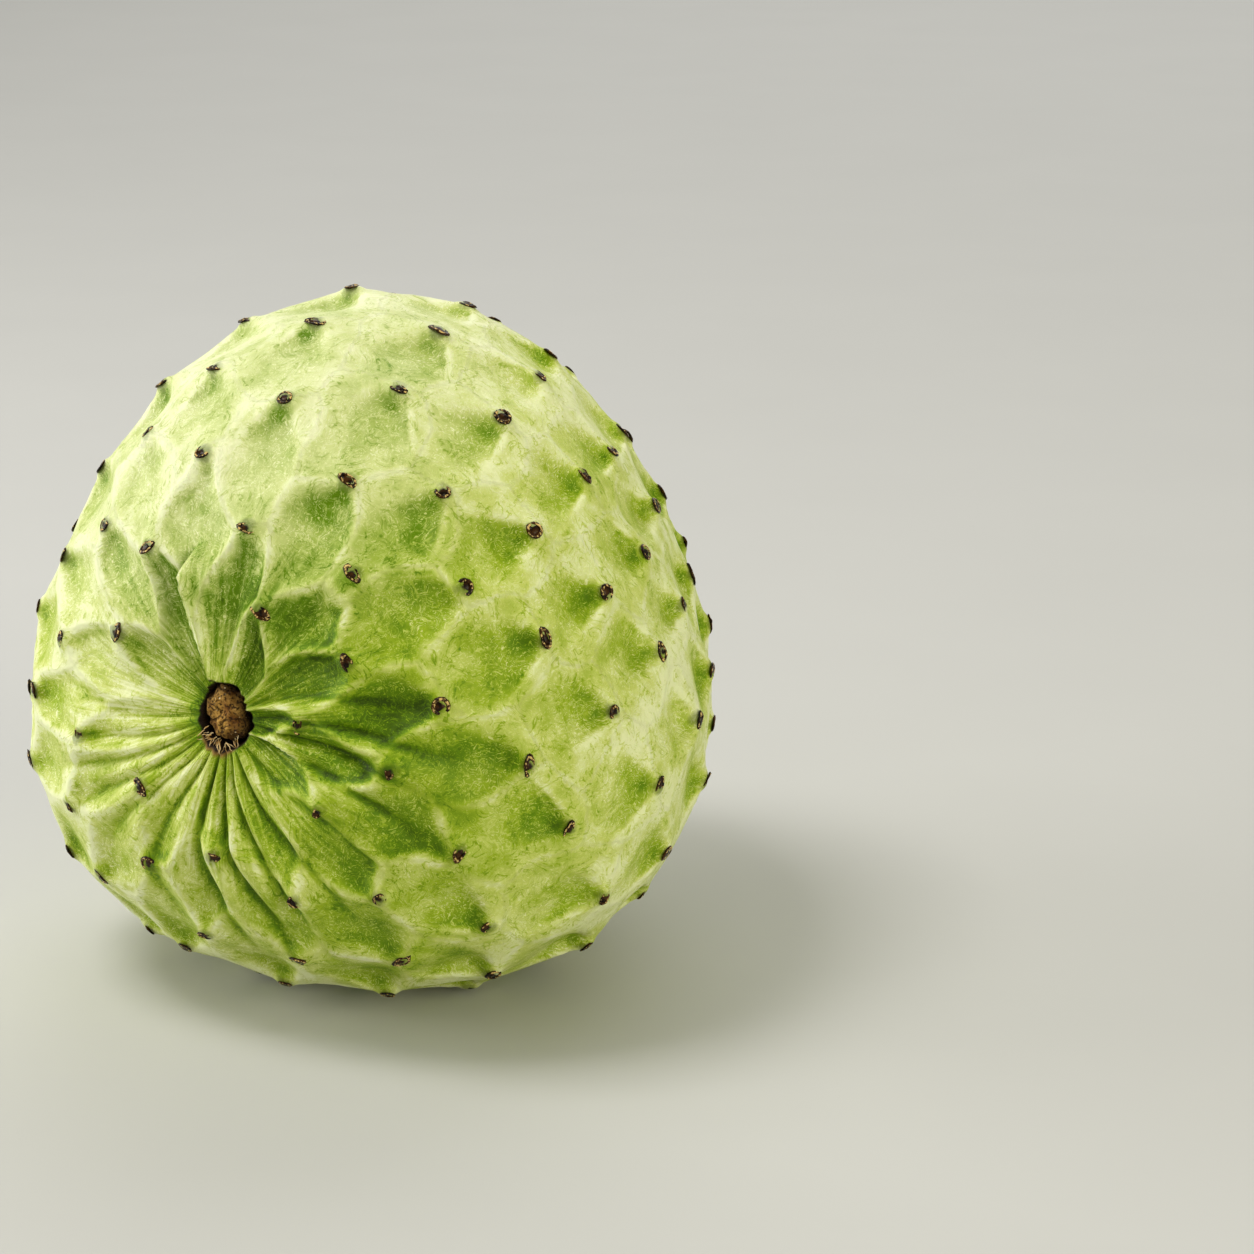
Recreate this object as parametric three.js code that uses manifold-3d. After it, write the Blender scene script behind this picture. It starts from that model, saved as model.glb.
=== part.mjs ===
// A whole custard apple lying on its side, with the dried stub of its stalk.
// Units are millimetres and +Z is up. The origin is the middle of the flat spot it rests on.
import * as THREE from 'three';
import { ConvexHull } from 'three/addons/math/ConvexHull.js';
import { mergeVertices } from 'three/addons/utils/BufferGeometryUtils.js';
import Module from 'manifold-3d';

// Body: a heart-shaped ball round a stem axis that lies nearly level.
const BODY_RADIUS = 55.75;
const STEM_AXIS = new THREE.Vector3(-0.442, -0.894, 0.075).normalize();
const END_STRETCH = 0.03; // share of the radius added at both ends
const SHOULDER = -0.028; // negative: full shoulders and a slimmer blossom end
const OVAL = 0.0194; // share of the radius that makes the cross-section oval
const OVAL_ANGLE = -0.11;
const LOBE = 0.068; // share of the radius in three soft lobes
const LOBE_ANGLE = 0.013;
const DIMPLE_DEPTH = 8;
const DIMPLE_SPREAD = 0.4; // radians from the stem axis

// Carpel tips: one spiral from the stem to the blossom end.
const TIP_COUNT = 170;
const FIRST_TIP = 5.1; // the places before it fall in the stem dimple
const FIRST_ANGLE = 2.753;
const TURN_PER_TIP = THREE.MathUtils.degToRad(137.4);
const END_CROWDING = 0.195; // tips stand closer near both ends
const SPIRAL_TILT_X = -0.063;
const SPIRAL_TILT_Y = -0.012;
const TIP_SCATTER = 1.3; // furthest a tip strays from its place
const TIP_SEED = 11;

// Tips: each is a small beak on a broad low nose.
const NOSE_HEIGHT = 0.7;
const NOSE_HALF_WIDTH = 5;
const NOSE_FAR_SIDE = 7;
const NOSE_STEM_SIDE = 2.6;
const BEAK_HEIGHT = 0.7; // with the dried style on it
const BEAK_RADIUS = 1.8;
const CARPEL_REACH = 24; // no tip raises the skin further away than this
const SIZE_SPREAD = 0.22; // share by which one carpel's relief differs from another's

// Patches: each carpel is a patch of skin with its tip at the far end from the stem.
const STEM_ZONE = 46; // within it the patches are long and crisp, like petals
const PATCH_SHIFT = 7.2; // from a tip back to the middle of its patch
const PATCH_OPENING = 0.3; // radians that the patches at the stem are opened out by
const PATCH_PLAIN = 0.95; // beyond this angle from the stem they aren't
const PATCH_WAVER = 1.2; // how far their borders wander
const RIDGE_HEIGHT = 0.65; // along the borders
const RIDGE_WIDTH = 2.2;
const RIDGE_WIDTH_BY_STEM = -1; // added to that close to the stem
const RIDGE_FAR = 0.2; // how much of the ridges is left far from the stem
const RIDGE_FADE = 10;

// Hollows: a thumb-print on the stem side of each tip, with a raised brow on both sides.
const HOLLOW_DEPTH = 1.85;
const HOLLOW_PEAK = 3.2; // from the tip to the deepest place
const HOLLOW_PEAK_BY_STEM = 4.4;
const HOLLOW_FLOOR = 0.15;
const HOLLOW_STARTS = 2;
const HOLLOW_TIP_WIDTH = 1.4; // half its width at the tip
const HOLLOW_WIDENING = 0.58; // and how that grows towards the stem
const HOLLOW_WIDENING_BY_STEM = 0.29;
const HOLLOW_WIDTH_SPREAD = 0.2;
const HOLLOW_SOFTNESS = 3.4;
const HOLLOW_CRISPNESS = 0.6;
const HOLLOW_LEAN = 0.28;
const BANK = 3; // how soon a hollow is deep, in from the border
const BANK_BY_STEM = -2.2;
const BROW_HEIGHT = 0.42;
const BROW_WIDTH = 1.2;
const BROW_LENGTH = 7.5;
const BROW_STARTS = 0.5;
const BROW_FULL = 2.5;
const BROW_LOW_SIDE = 0.5;
const BROW_LOST_BY_STEM = 0.6;

// Where the folds are strong, below the stem and to one side, the patches are quiet.
const QUIET = 0.72;
const QUIET_ANGLE = 2.45;
const QUIET_HALF_ANGLE = 1.6;
const QUIET_REACH = 34;

// Folds that run out from the stem: deep below it, faint above.
const FOLD_COUNT = 23;
const FOLD_DEPTH = 2;
const FOLD_START = 3;
const FOLD_FULL = 12;
const FOLD_FADE = 27;
const FOLD_END = 52;
const FOLD_END_WEAK = 0.65; // share of that which the weakest folds reach
const FOLD_WEAKEST = 0.2;
const FOLD_SWAY = 0.12;
const FOLD_SWAY_LENGTH = 9;
const FOLD_SIDE = 0.25; // where round the stem they are weakest
const FOLD_UNLIKE = 0.25;
const FOLD_MEAN = 0.6;

// One bold lip above the stem: a rounded edge with a groove along its foot.
const LIP_ANGLE = 0.14;
const LIP_BULGE = 0.16;
const LIP_HEIGHT = 3.3;
const LIP_ROUND = 5;
const LIP_EDGE = 0.45;
const LIP_SIDE = 3.2; // width of the low ground beside it
const LIP_SIDE_DEPTH = 0.5;
const LIP_START = 5;
const LIP_LENGTH = 25;
const LIP_RUN_IN = 2;
const LIP_RUN_OUT = 8;
const GROOVE_DEPTH = 1.1;
const GROOVE_WIDTH = 0.7;

// Flat resting spot.
const FLAT_DEPTH = 1.2;
const SMOOTH_UNDERSIDE = 11; // radius without relief round the resting spot
const RELIEF_RETURNS = 26;

// Stem scar and stalk stub.
const SCAR_RADIUS = 4.3;
const SCAR_DEPTH = 6.5;
const SCAR_OVAL = 1.25;
const STUB_RADIUS = 3.55;
const STUB_LIFT = 0.4; // the stub sits high in the scar
const STUB_SHIFT = 0.3; // and to one side
const STUB_GAP = 0.3;
const STUB_LUMP = 0.22;
const STUB_TOP = 0.3; // above the middle of the dimple
const SCAR_SIDES = 28;
const STUB_SIDES = 20;

// Fineness of the faceted skin.
const SKIN_POINTS = 3900;
const TIP_RING_SIDES = 6;
const TIP_RINGS = [1.35, 2.7];
const TIP_CLEARANCE = 4;
const FOLD_RINGS = [6, 7.8, 10, 12.6, 15.4, 18.4, 21.6, 25, 28.6, 32.4, 36.4];
const POINTS_PER_FOLD = 3;
const FOLD_ZONE = 38.5;
const GOLDEN_ANGLE = Math.PI * (3 - Math.sqrt(5));

const RIND = new THREE.MeshStandardMaterial({ name: 'rind', color: 0xa3b95c, roughness: 0.5, metalness: 0 });
const CORK = new THREE.MeshStandardMaterial({ name: 'cork', color: 0x6e4f2d, roughness: 0.9, metalness: 0 });

// Frame of the stem: UPWARD and SIDEWAYS are square to the axis, UPWARD as near +Z as it can be.
const UPWARD = new THREE.Vector3(0, 0, 1).projectOnPlane(STEM_AXIS).normalize();
const SIDEWAYS = new THREE.Vector3().crossVectors(STEM_AXIS, UPWARD);

/** Direction at an angle phi from the stem axis, turned theta from UPWARD. */
function direction(phi, theta) {
  return new THREE.Vector3()
    .addScaledVector(UPWARD, Math.sin(phi) * Math.cos(theta))
    .addScaledVector(SIDEWAYS, Math.sin(phi) * Math.sin(theta))
    .addScaledVector(STEM_AXIS, Math.cos(phi));
}

/** Angles of a direction in the frame of the stem. */
function anglesOf(way) {
  const phi = Math.acos(THREE.MathUtils.clamp(way.dot(STEM_AXIS), -1, 1));
  return { phi, theta: Math.atan2(way.dot(SIDEWAYS), way.dot(UPWARD)) };
}

/** Radius of the smooth body, before any relief. */
function smoothRadius(way) {
  const { phi, theta } = anglesOf(way);
  const girth = Math.sin(phi);
  const profile = 1 + END_STRETCH * Math.cos(2 * phi) + SHOULDER * Math.cos(3 * phi);
  const oval = OVAL * girth ** 2 * Math.cos(2 * (theta - OVAL_ANGLE));
  const lobes = LOBE * girth ** 3 * Math.cos(3 * (theta - LOBE_ANGLE));
  return BODY_RADIUS * profile * (1 + oval + lobes) - DIMPLE_DEPTH * Math.exp(-((phi / DIMPLE_SPREAD) ** 2));
}

/** Angle from the stem at which a share of all the tips has been passed. */
function spiralAngle(share) {
  let low = -1;
  let high = 1;
  for (let step = 0; step < 40; step += 1) {
    const c = (low + high) / 2;
    const passed = ((1 - END_CROWDING) * (1 - c) + (2 / 3) * END_CROWDING * (1 - c ** 3)) / 2;
    if (passed / (1 - END_CROWDING / 3) > share) low = c;
    else high = c;
  }
  return Math.acos((low + high) / 2);
}

/** Repeatable scatter between -1 and 1. */
function scatter(index, channel) {
  const wave = Math.sin(index * 12.9898 + channel * 78.233 + TIP_SEED) * 43758.5453;
  return 2 * (wave - Math.floor(wave)) - 1;
}

/** Angle from the stem, stretched so that patches close to the stem come out long and narrow. */
function opened(phi) {
  return phi < PATCH_PLAIN ? PATCH_OPENING + (1 - PATCH_OPENING / PATCH_PLAIN) * phi : phi;
}

/** The carpels, each with the direction of its tip and the two ways along the skin from it. */
function makeTips() {
  const tilt = new THREE.Matrix4().makeRotationX(SPIRAL_TILT_X);
  tilt.multiply(new THREE.Matrix4().makeRotationY(SPIRAL_TILT_Y));
  const tips = [];
  for (let n = 0; n + FIRST_TIP < TIP_COUNT; n += 1) {
    const phi = spiralAngle((n + FIRST_TIP) / TIP_COUNT);
    const theta = FIRST_ANGLE + (n + FIRST_TIP) * TURN_PER_TIP;
    const girth = Math.sin(phi);
    const local = new THREE.Vector3(girth * Math.cos(theta), girth * Math.sin(theta), Math.cos(phi));
    local.applyMatrix4(tilt);
    const placed = new THREE.Vector3()
      .addScaledVector(UPWARD, local.x)
      .addScaledVector(SIDEWAYS, local.y)
      .addScaledVector(STEM_AXIS, local.z);
    const at = anglesOf(placed);
    at.phi += (TIP_SCATTER / BODY_RADIUS) * scatter(n, 1);
    at.theta += ((TIP_SCATTER / BODY_RADIUS) * scatter(n, 2)) / Math.max(Math.sin(at.phi), 0.2);
    tips.push({
      way: direction(at.phi, at.theta),
      away: direction(at.phi + Math.PI / 2, at.theta),
      across: direction(Math.PI / 2, at.theta + Math.PI / 2),
      patch: direction(Math.max(opened(at.phi) - PATCH_SHIFT / BODY_RADIUS, 0.05), at.theta),
      size: 1 + SIZE_SPREAD * scatter(n, 3),
      width: 1 + HOLLOW_WIDTH_SPREAD * scatter(n, 6),
      crispSide: Math.sign(scatter(n, 7)),
      lean: HOLLOW_LEAN * scatter(n, 8),
      byStem: Math.exp(-(((BODY_RADIUS * at.phi) / STEM_ZONE) ** 4)),
    });
  }
  return tips;
}

/** Height that one tip raises the skin, u across and v along it, v growing away from the stem. */
function tipHeight(u, v) {
  const noseLength = v > 0 ? NOSE_FAR_SIDE : NOSE_STEM_SIDE;
  const nose = NOSE_HEIGHT * Math.exp(-((u / NOSE_HALF_WIDTH) ** 2) - (v / noseLength) ** 2);
  return nose + BEAK_HEIGHT * Math.exp(-((Math.hypot(u, v) / BEAK_RADIUS) ** 4));
}

/** Slow wandering of the borders between patches. */
function waver(way) {
  const { x, y, z } = way.clone().multiplyScalar(BODY_RADIUS);
  const wave = new THREE.Vector3(
    Math.sin(0.31 * y + 0.17 * z + 0.5),
    Math.sin(0.29 * z + 0.19 * x + 2.1),
    Math.sin(0.33 * x + 0.15 * y + 4),
  );
  return wave.multiplyScalar(PATCH_WAVER / BODY_RADIUS);
}

/** The carpel whose patch a direction lies in, the next nearest one, and the distance to their border. */
function patchAt(way, tips) {
  const { phi, theta } = anglesOf(way);
  const mapped = direction(opened(phi), theta).add(waver(way)).normalize();
  let first = null;
  let second = null;
  let best = -1;
  let next = -1;
  for (const tip of tips) {
    const closeness = mapped.dot(tip.patch);
    if (closeness > best) {
      second = first;
      next = best;
      first = tip;
      best = closeness;
    } else if (closeness > next) {
      second = tip;
      next = closeness;
    }
  }
  const inside = (BODY_RADIUS * (Math.acos(next) - Math.acos(Math.min(best, 1)))) / 2;
  return { first, second, inside };
}

/** How strongly the border of a carpel's patch is raised at a direction. */
function borderStrength(way, tip) {
  const behind = Math.max(-BODY_RADIUS * way.dot(tip.away), 0);
  const kept = RIDGE_FAR + (1 - RIDGE_FAR) * tip.byStem;
  return kept * Math.exp(-behind / RIDGE_FADE) * THREE.MathUtils.smoothstep(behind, 0, 2);
}

/** Relief of the patches: hollow, brows and ridge. */
function patchHeight(way, tips) {
  const { smoothstep, euclideanModulo } = THREE.MathUtils;
  const { first, second, inside } = patchAt(way, tips);
  const near = first.byStem;
  const w = Math.max(-BODY_RADIUS * way.dot(first.away), 0);
  const u = BODY_RADIUS * way.dot(first.across) - first.lean * (1 - near) * w;
  const peak = HOLLOW_PEAK + HOLLOW_PEAK_BY_STEM * near;
  const bowl = (w / peak) * Math.exp(1 - w / peak);
  const dip = HOLLOW_FLOOR * smoothstep(w, 0, HOLLOW_STARTS) + (1 - HOLLOW_FLOOR) * bowl;
  const widening = HOLLOW_WIDENING + HOLLOW_WIDENING_BY_STEM * near;
  const half = (HOLLOW_TIP_WIDTH + widening * w) * first.width;
  const across = Math.exp(-((Math.abs(u) / half) ** (HOLLOW_SOFTNESS + HOLLOW_CRISPNESS * near)));
  const bank = 1 - Math.exp(-inside / (BANK + BANK_BY_STEM * near));
  const edge = Math.exp(-(((Math.abs(u) - half) / BROW_WIDTH) ** 2)) * smoothstep(w, BROW_STARTS, BROW_FULL);
  const crisp = u * first.crispSide > 0 ? 1 : BROW_LOW_SIDE;
  const brow = edge * Math.exp(-w / BROW_LENGTH) * crisp * (1 - BROW_LOST_BY_STEM * near);
  const line = Math.exp(-((inside / (RIDGE_WIDTH + RIDGE_WIDTH_BY_STEM * near)) ** 2));
  const ridge = line * Math.max(borderStrength(way, first), borderStrength(way, second));
  const { phi, theta } = anglesOf(way);
  const turned = (euclideanModulo(theta, 2 * Math.PI) - QUIET_ANGLE) / QUIET_HALF_ANGLE;
  const calm = 1 - QUIET * Math.exp(-(turned ** 4) - ((BODY_RADIUS * phi) / QUIET_REACH) ** 4);
  const hollow = HOLLOW_DEPTH * dip * across * bank * first.size;
  return calm * (RIDGE_HEIGHT * ridge - hollow) + BROW_HEIGHT * brow;
}

/** Angle that runs evenly from fold to fold, though the folds are unevenly spaced and sway. */
function foldPhase(s, theta) {
  const sway = FOLD_SWAY * Math.sin(s / FOLD_SWAY_LENGTH + 2 * theta);
  return theta - 0.16 * Math.sin(theta + 0.2) + 0.06 * Math.sin(5 * theta + 2) + sway;
}

/** Height of the folds, s millimetres along the skin from the stem axis. */
function foldHeight(s, theta) {
  const { smoothstep } = THREE.MathUtils;
  const below = (1 - Math.cos(theta - FOLD_SIDE)) / 2;
  const unlike = 1 - FOLD_UNLIKE + FOLD_UNLIKE * Math.sin(4 * theta + 1.3);
  const strength = (FOLD_WEAKEST + (1 - FOLD_WEAKEST) * smoothstep(below, 0.25, 0.85)) * unlike;
  const end = FOLD_END * (FOLD_END_WEAK + (1 - FOLD_END_WEAK) * strength);
  const reach = smoothstep(s, FOLD_START, FOLD_FULL) * (1 - smoothstep(s, FOLD_FADE, end));
  const wave = Math.abs(Math.sin((FOLD_COUNT * foldPhase(s, theta)) / 2));
  return FOLD_DEPTH * reach * strength * (wave - FOLD_MEAN);
}

/** Height of the lip and its groove. */
function lipHeight(s, phi, theta) {
  const { smoothstep, clamp, euclideanModulo } = THREE.MathUtils;
  const line = LIP_ANGLE + LIP_BULGE * Math.sin(Math.PI * clamp((s - LIP_START) / LIP_LENGTH, 0, 1));
  const turned = euclideanModulo(theta - line + Math.PI, 2 * Math.PI) - Math.PI;
  const off = BODY_RADIUS * Math.sin(phi) * turned;
  const end = LIP_START + LIP_LENGTH;
  const runIn = smoothstep(s, LIP_START - LIP_RUN_IN, LIP_START + LIP_RUN_IN);
  const held = runIn * (1 - smoothstep(s, end - LIP_RUN_OUT, end));
  const bulge = off < 0 ? Math.exp(off / LIP_ROUND) : Math.exp(-off / LIP_EDGE);
  const groove = Math.exp(-(((off - GROOVE_WIDTH) / GROOVE_WIDTH) ** 2));
  const beside = off > 0 ? Math.exp(-off / LIP_SIDE) : 0;
  return held * (LIP_HEIGHT * bulge - GROOVE_DEPTH * groove - LIP_SIDE_DEPTH * beside);
}

/** Radius of the skin with all its relief. */
function skinRadius(way, tips, restWay) {
  let raised = 0;
  const nearest = Math.cos(CARPEL_REACH / BODY_RADIUS);
  for (const tip of tips) {
    if (way.dot(tip.way) > nearest) {
      const u = BODY_RADIUS * way.dot(tip.across);
      const v = BODY_RADIUS * way.dot(tip.away);
      raised += tip.size * tipHeight(u, v);
    }
  }
  const { phi, theta } = anglesOf(way);
  const s = BODY_RADIUS * phi;
  const relief = raised + patchHeight(way, tips) + foldHeight(s, theta) + lipHeight(s, phi, theta);
  const fromRest = BODY_RADIUS * way.angleTo(restWay);
  return smoothRadius(way) + relief * THREE.MathUtils.smoothstep(fromRest, SMOOTH_UNDERSIDE, RELIEF_RETURNS);
}

/** Points on the unit ball: rings at the tips and the folds, and an even spread elsewhere. */
function skinDirections(tips) {
  const ways = [];
  const clearOfTips = Math.cos(TIP_CLEARANCE / BODY_RADIUS);
  const isClear = (way) => tips.every((tip) => way.dot(tip.way) < clearOfTips);
  for (const tip of tips) {
    ways.push(tip.way.clone());
    TIP_RINGS.forEach((radius, ring) => {
      for (let side = 0; side < TIP_RING_SIDES; side += 1) {
        const turn = ((side + ring / 2) / TIP_RING_SIDES) * 2 * Math.PI;
        const way = tip.way.clone();
        way.addScaledVector(tip.across, (radius / BODY_RADIUS) * Math.cos(turn));
        way.addScaledVector(tip.away, (radius / BODY_RADIUS) * Math.sin(turn));
        ways.push(way.normalize());
      }
    });
  }
  ways.push(STEM_AXIS.clone());
  for (const s of FOLD_RINGS) {
    for (let spot = 0; spot < POINTS_PER_FOLD * FOLD_COUNT; spot += 1) {
      const wanted = (spot / (POINTS_PER_FOLD * FOLD_COUNT)) * 2 * Math.PI;
      let theta = wanted;
      for (let step = 0; step < 30; step += 1) theta += 0.5 * (wanted - foldPhase(s, theta));
      const way = direction(s / BODY_RADIUS, theta);
      if (isClear(way)) ways.push(way);
    }
  }
  for (let n = 0; n < SKIN_POINTS; n += 1) {
    const phi = Math.acos(1 - (2 * n + 1) / SKIN_POINTS);
    const way = direction(phi, n * GOLDEN_ANGLE);
    if (BODY_RADIUS * phi > FOLD_ZONE && isClear(way)) ways.push(way);
  }
  return ways;
}

/** Closed skin: the hull of the unit directions, each moved out to the skin. */
function makeSkin(tips, restWay) {
  const ways = skinDirections(tips);
  const hull = new ConvexHull().setFromPoints(ways);
  const corners = [];
  for (const face of hull.faces) {
    let edge = face.edge;
    do {
      const way = edge.head().point;
      corners.push(...way.clone().multiplyScalar(skinRadius(way, tips, restWay)).toArray());
      edge = edge.next;
    } while (edge !== face.edge);
  }
  const skin = new THREE.BufferGeometry();
  skin.setAttribute('position', new THREE.Float32BufferAttribute(corners, 3));
  return skin;
}

/** Lowest point of the smooth body, found by closing in on it. */
function lowestPoint() {
  const best = new THREE.Vector3(0, 0, -1);
  const point = (way) => way.clone().multiplyScalar(smoothRadius(way));
  for (let reach = 0.2; reach > 0.0005; reach *= 0.7) {
    for (let turn = 0; turn < 16; turn += 1) {
      const angle = (turn / 16) * 2 * Math.PI;
      const step = new THREE.Vector3(Math.cos(angle), Math.sin(angle), 0).multiplyScalar(reach);
      const way = best.clone().add(step).normalize();
      if (point(way).z < point(best).z) best.copy(way);
    }
  }
  return point(best);
}

/** Frame at the stem end: Y runs out along the axis from the middle of the dimple, Z is UPWARD. */
function stemEnd() {
  const place = new THREE.Matrix4().makeBasis(SIDEWAYS, STEM_AXIS, UPWARD);
  return place.setPosition(STEM_AXIS.clone().multiplyScalar(smoothRadius(STEM_AXIS)));
}

/** Cutter for the blind scar, oval and standing proud of the skin so that it cuts clean. */
function makeScarCutter() {
  const profile = [
    [0, -SCAR_DEPTH],
    [SCAR_RADIUS * 0.7, -SCAR_DEPTH],
    [SCAR_RADIUS * 0.93, -SCAR_DEPTH * 0.8],
    [SCAR_RADIUS, -SCAR_DEPTH * 0.3],
    [SCAR_RADIUS, 0],
    [SCAR_RADIUS * 1.3, 2],
    [SCAR_RADIUS * 1.3, 6],
    [0, 6],
  ].map(([x, y]) => new THREE.Vector2(x, y));
  return new THREE.LatheGeometry(profile, SCAR_SIDES).scale(1, 1, SCAR_OVAL);
}

/** The stub: a short oval plug with a lumpy domed end. */
function makeStub() {
  const bottom = -SCAR_DEPTH + STUB_GAP;
  const profile = [
    [0, bottom],
    [STUB_RADIUS * 0.72, bottom],
    [STUB_RADIUS * 0.95, bottom + 1.6],
    [STUB_RADIUS, STUB_TOP - 1.6],
    [STUB_RADIUS * 0.86, STUB_TOP - 0.5],
    [STUB_RADIUS * 0.5, STUB_TOP - 0.1],
    [0, STUB_TOP],
  ].map(([x, y]) => new THREE.Vector2(x, y));
  const stub = new THREE.LatheGeometry(profile, STUB_SIDES).scale(1, 1, SCAR_OVAL);
  const spots = stub.getAttribute('position');
  for (let i = 0; i < spots.count; i += 1) {
    const spot = new THREE.Vector3().fromBufferAttribute(spots, i);
    const lump = Math.sin(spot.x * 2.1 + 1) * Math.sin(spot.z * 1.7) * Math.sin(spot.y * 1.3 + 0.5);
    const swell = 1 + (STUB_LUMP * lump) / STUB_RADIUS;
    spots.setXYZ(i, spot.x * swell, spot.y, spot.z * swell);
  }
  return stub;
}

/** A closed geometry as a solid that can be cut. */
function toSolid(wasm, geometry) {
  const bare = geometry.clone();
  bare.deleteAttribute('normal');
  bare.deleteAttribute('uv');
  const merged = mergeVertices(bare, 1e-5);
  return new wasm.Manifold(
    new wasm.Mesh({
      numProp: 3,
      vertProperties: new Float32Array(merged.getAttribute('position').array),
      triVerts: new Uint32Array(merged.getIndex().array),
    }),
  );
}

/** A cut solid as a geometry. */
function toGeometry(solid) {
  const mesh = solid.getMesh();
  const geometry = new THREE.BufferGeometry();
  geometry.setAttribute('position', new THREE.BufferAttribute(new Float32Array(mesh.vertProperties), 3));
  geometry.setIndex(new THREE.BufferAttribute(new Uint32Array(mesh.triVerts), 1));
  geometry.computeVertexNormals();
  return geometry;
}

/** The fruit: its skin with the scar cut in and the resting spot cut flat. */
function makeFruit(wasm, lowest, restHeight) {
  const skin = toSolid(wasm, makeSkin(makeTips(), lowest.clone().normalize()));
  const scar = toSolid(wasm, makeScarCutter().applyMatrix4(stemEnd()));
  const below = new THREE.BoxGeometry(4 * BODY_RADIUS, 4 * BODY_RADIUS, BODY_RADIUS);
  below.translate(0, 0, restHeight - BODY_RADIUS / 2);
  return toGeometry(skin.subtract(scar).subtract(toSolid(wasm, below)));
}

const wasm = await Module();
wasm.setup();

const lowest = lowestPoint();
const restHeight = lowest.z + FLAT_DEPTH;
const custardApple = new THREE.Group();
custardApple.position.set(-lowest.x, -lowest.y, -restHeight);

const fruit = new THREE.Mesh(makeFruit(wasm, lowest, restHeight), RIND);
fruit.name = 'fruit';
custardApple.add(fruit);

const stemStub = new THREE.Mesh(makeStub(), CORK);
stemStub.name = 'stem_stub';
stemStub.applyMatrix4(stemEnd());
stemStub.position.addScaledVector(UPWARD, STUB_LIFT).addScaledVector(SIDEWAYS, STUB_SHIFT);
custardApple.add(stemStub);

export default custardApple;
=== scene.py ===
"""A whole custard apple lying on its side, with dried carpel tips and a corky stalk stub."""

import logging
import math
from dataclasses import dataclass, field
from enum import Enum
from itertools import combinations

import bpy
import numpy as np
from mathutils import Matrix, Vector


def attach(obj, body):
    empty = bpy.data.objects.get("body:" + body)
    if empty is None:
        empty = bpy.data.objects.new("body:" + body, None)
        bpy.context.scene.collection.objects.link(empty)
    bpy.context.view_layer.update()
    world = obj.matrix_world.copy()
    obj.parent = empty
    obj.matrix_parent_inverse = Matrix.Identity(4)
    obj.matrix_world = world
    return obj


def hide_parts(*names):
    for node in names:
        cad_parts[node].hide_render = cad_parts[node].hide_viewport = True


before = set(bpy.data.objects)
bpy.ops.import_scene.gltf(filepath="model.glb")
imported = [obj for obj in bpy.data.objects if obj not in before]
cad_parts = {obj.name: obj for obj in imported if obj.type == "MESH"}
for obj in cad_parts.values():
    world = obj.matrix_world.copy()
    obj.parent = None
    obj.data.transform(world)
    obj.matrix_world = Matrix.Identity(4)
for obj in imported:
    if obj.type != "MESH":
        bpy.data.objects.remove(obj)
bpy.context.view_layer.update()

MM = 0.001
FULL_TURN = 2 * math.pi
GOLDEN = (1 + math.sqrt(5)) / 2
SWIRL_PITCH = 0.004  # what a millimetre from the stem adds to the swirl's third part

Colour = tuple[float, float, float, float]
Socket = bpy.types.NodeSocket
Masks = dict[str, Socket]

logging.basicConfig(level=logging.INFO, format="%(name)s: %(message)s")
LOG = logging.getLogger("custard_apple")


# Small helpers ---------------------------------------------------------------------------------


def linear(hex_colour: str) -> Colour:
    """Turns an sRGB hex colour to linear.

    Args:
        hex_colour: six hex digits.

    Returns:
        Linear red, green, blue and an alpha of one.
    """
    parts = [int(hex_colour[i : i + 2], 16) / 255 for i in (0, 2, 4)]
    curved = [p / 12.92 if p <= 0.04045 else ((p + 0.055) / 1.055) ** 2.4 for p in parts]
    return (*curved, 1.0)


def node(tree: bpy.types.NodeTree, kind: str, inputs: dict | None = None, **settings) -> bpy.types.Node:
    """Adds a node with its settings and links.

    Args:
        tree: the node tree.
        kind: the node's type name.
        inputs: input name or number to a value, or to the socket that feeds it.
        settings: the node's own properties.

    Returns:
        The new node.
    """
    made = tree.nodes.new(kind)
    for name, value in settings.items():
        setattr(made, name, value)
    for key, value in (inputs or {}).items():
        if isinstance(value, bpy.types.NodeSocket):
            tree.links.new(value, made.inputs[key])
        else:
            made.inputs[key].default_value = value
    return made


def smoothstep(low: float, high: float, x: np.ndarray) -> np.ndarray:
    """Soft step from 0 at low to 1 at high."""
    t = np.clip((x - low) / (high - low), 0, 1)
    return t * t * (3 - 2 * t)


def stretch(x: np.ndarray, ends: tuple[float, float, float, float]) -> np.ndarray:
    """Rises from 0 to 1 between the first two ends and falls to 0 between the last two."""
    return smoothstep(ends[0], ends[1], x) * (1 - smoothstep(ends[2], ends[3], x))


def bell(x: np.ndarray, power: float | np.ndarray = 2) -> np.ndarray:
    """Hump of 1 at zero that falls off on both sides, the squarer the higher the power."""
    return np.exp(-(np.abs(x) ** power))


def unit(rows: np.ndarray) -> np.ndarray:
    """Rows scaled to length one."""
    return rows / np.linalg.norm(rows, axis=-1, keepdims=True)


def ball(phi: np.ndarray, theta: np.ndarray) -> np.ndarray:
    """Directions at an angle phi from the third axis, turned theta from the first."""
    return np.stack([np.sin(phi) * np.cos(theta), np.sin(phi) * np.sin(theta), np.cos(phi)], -1)


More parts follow.
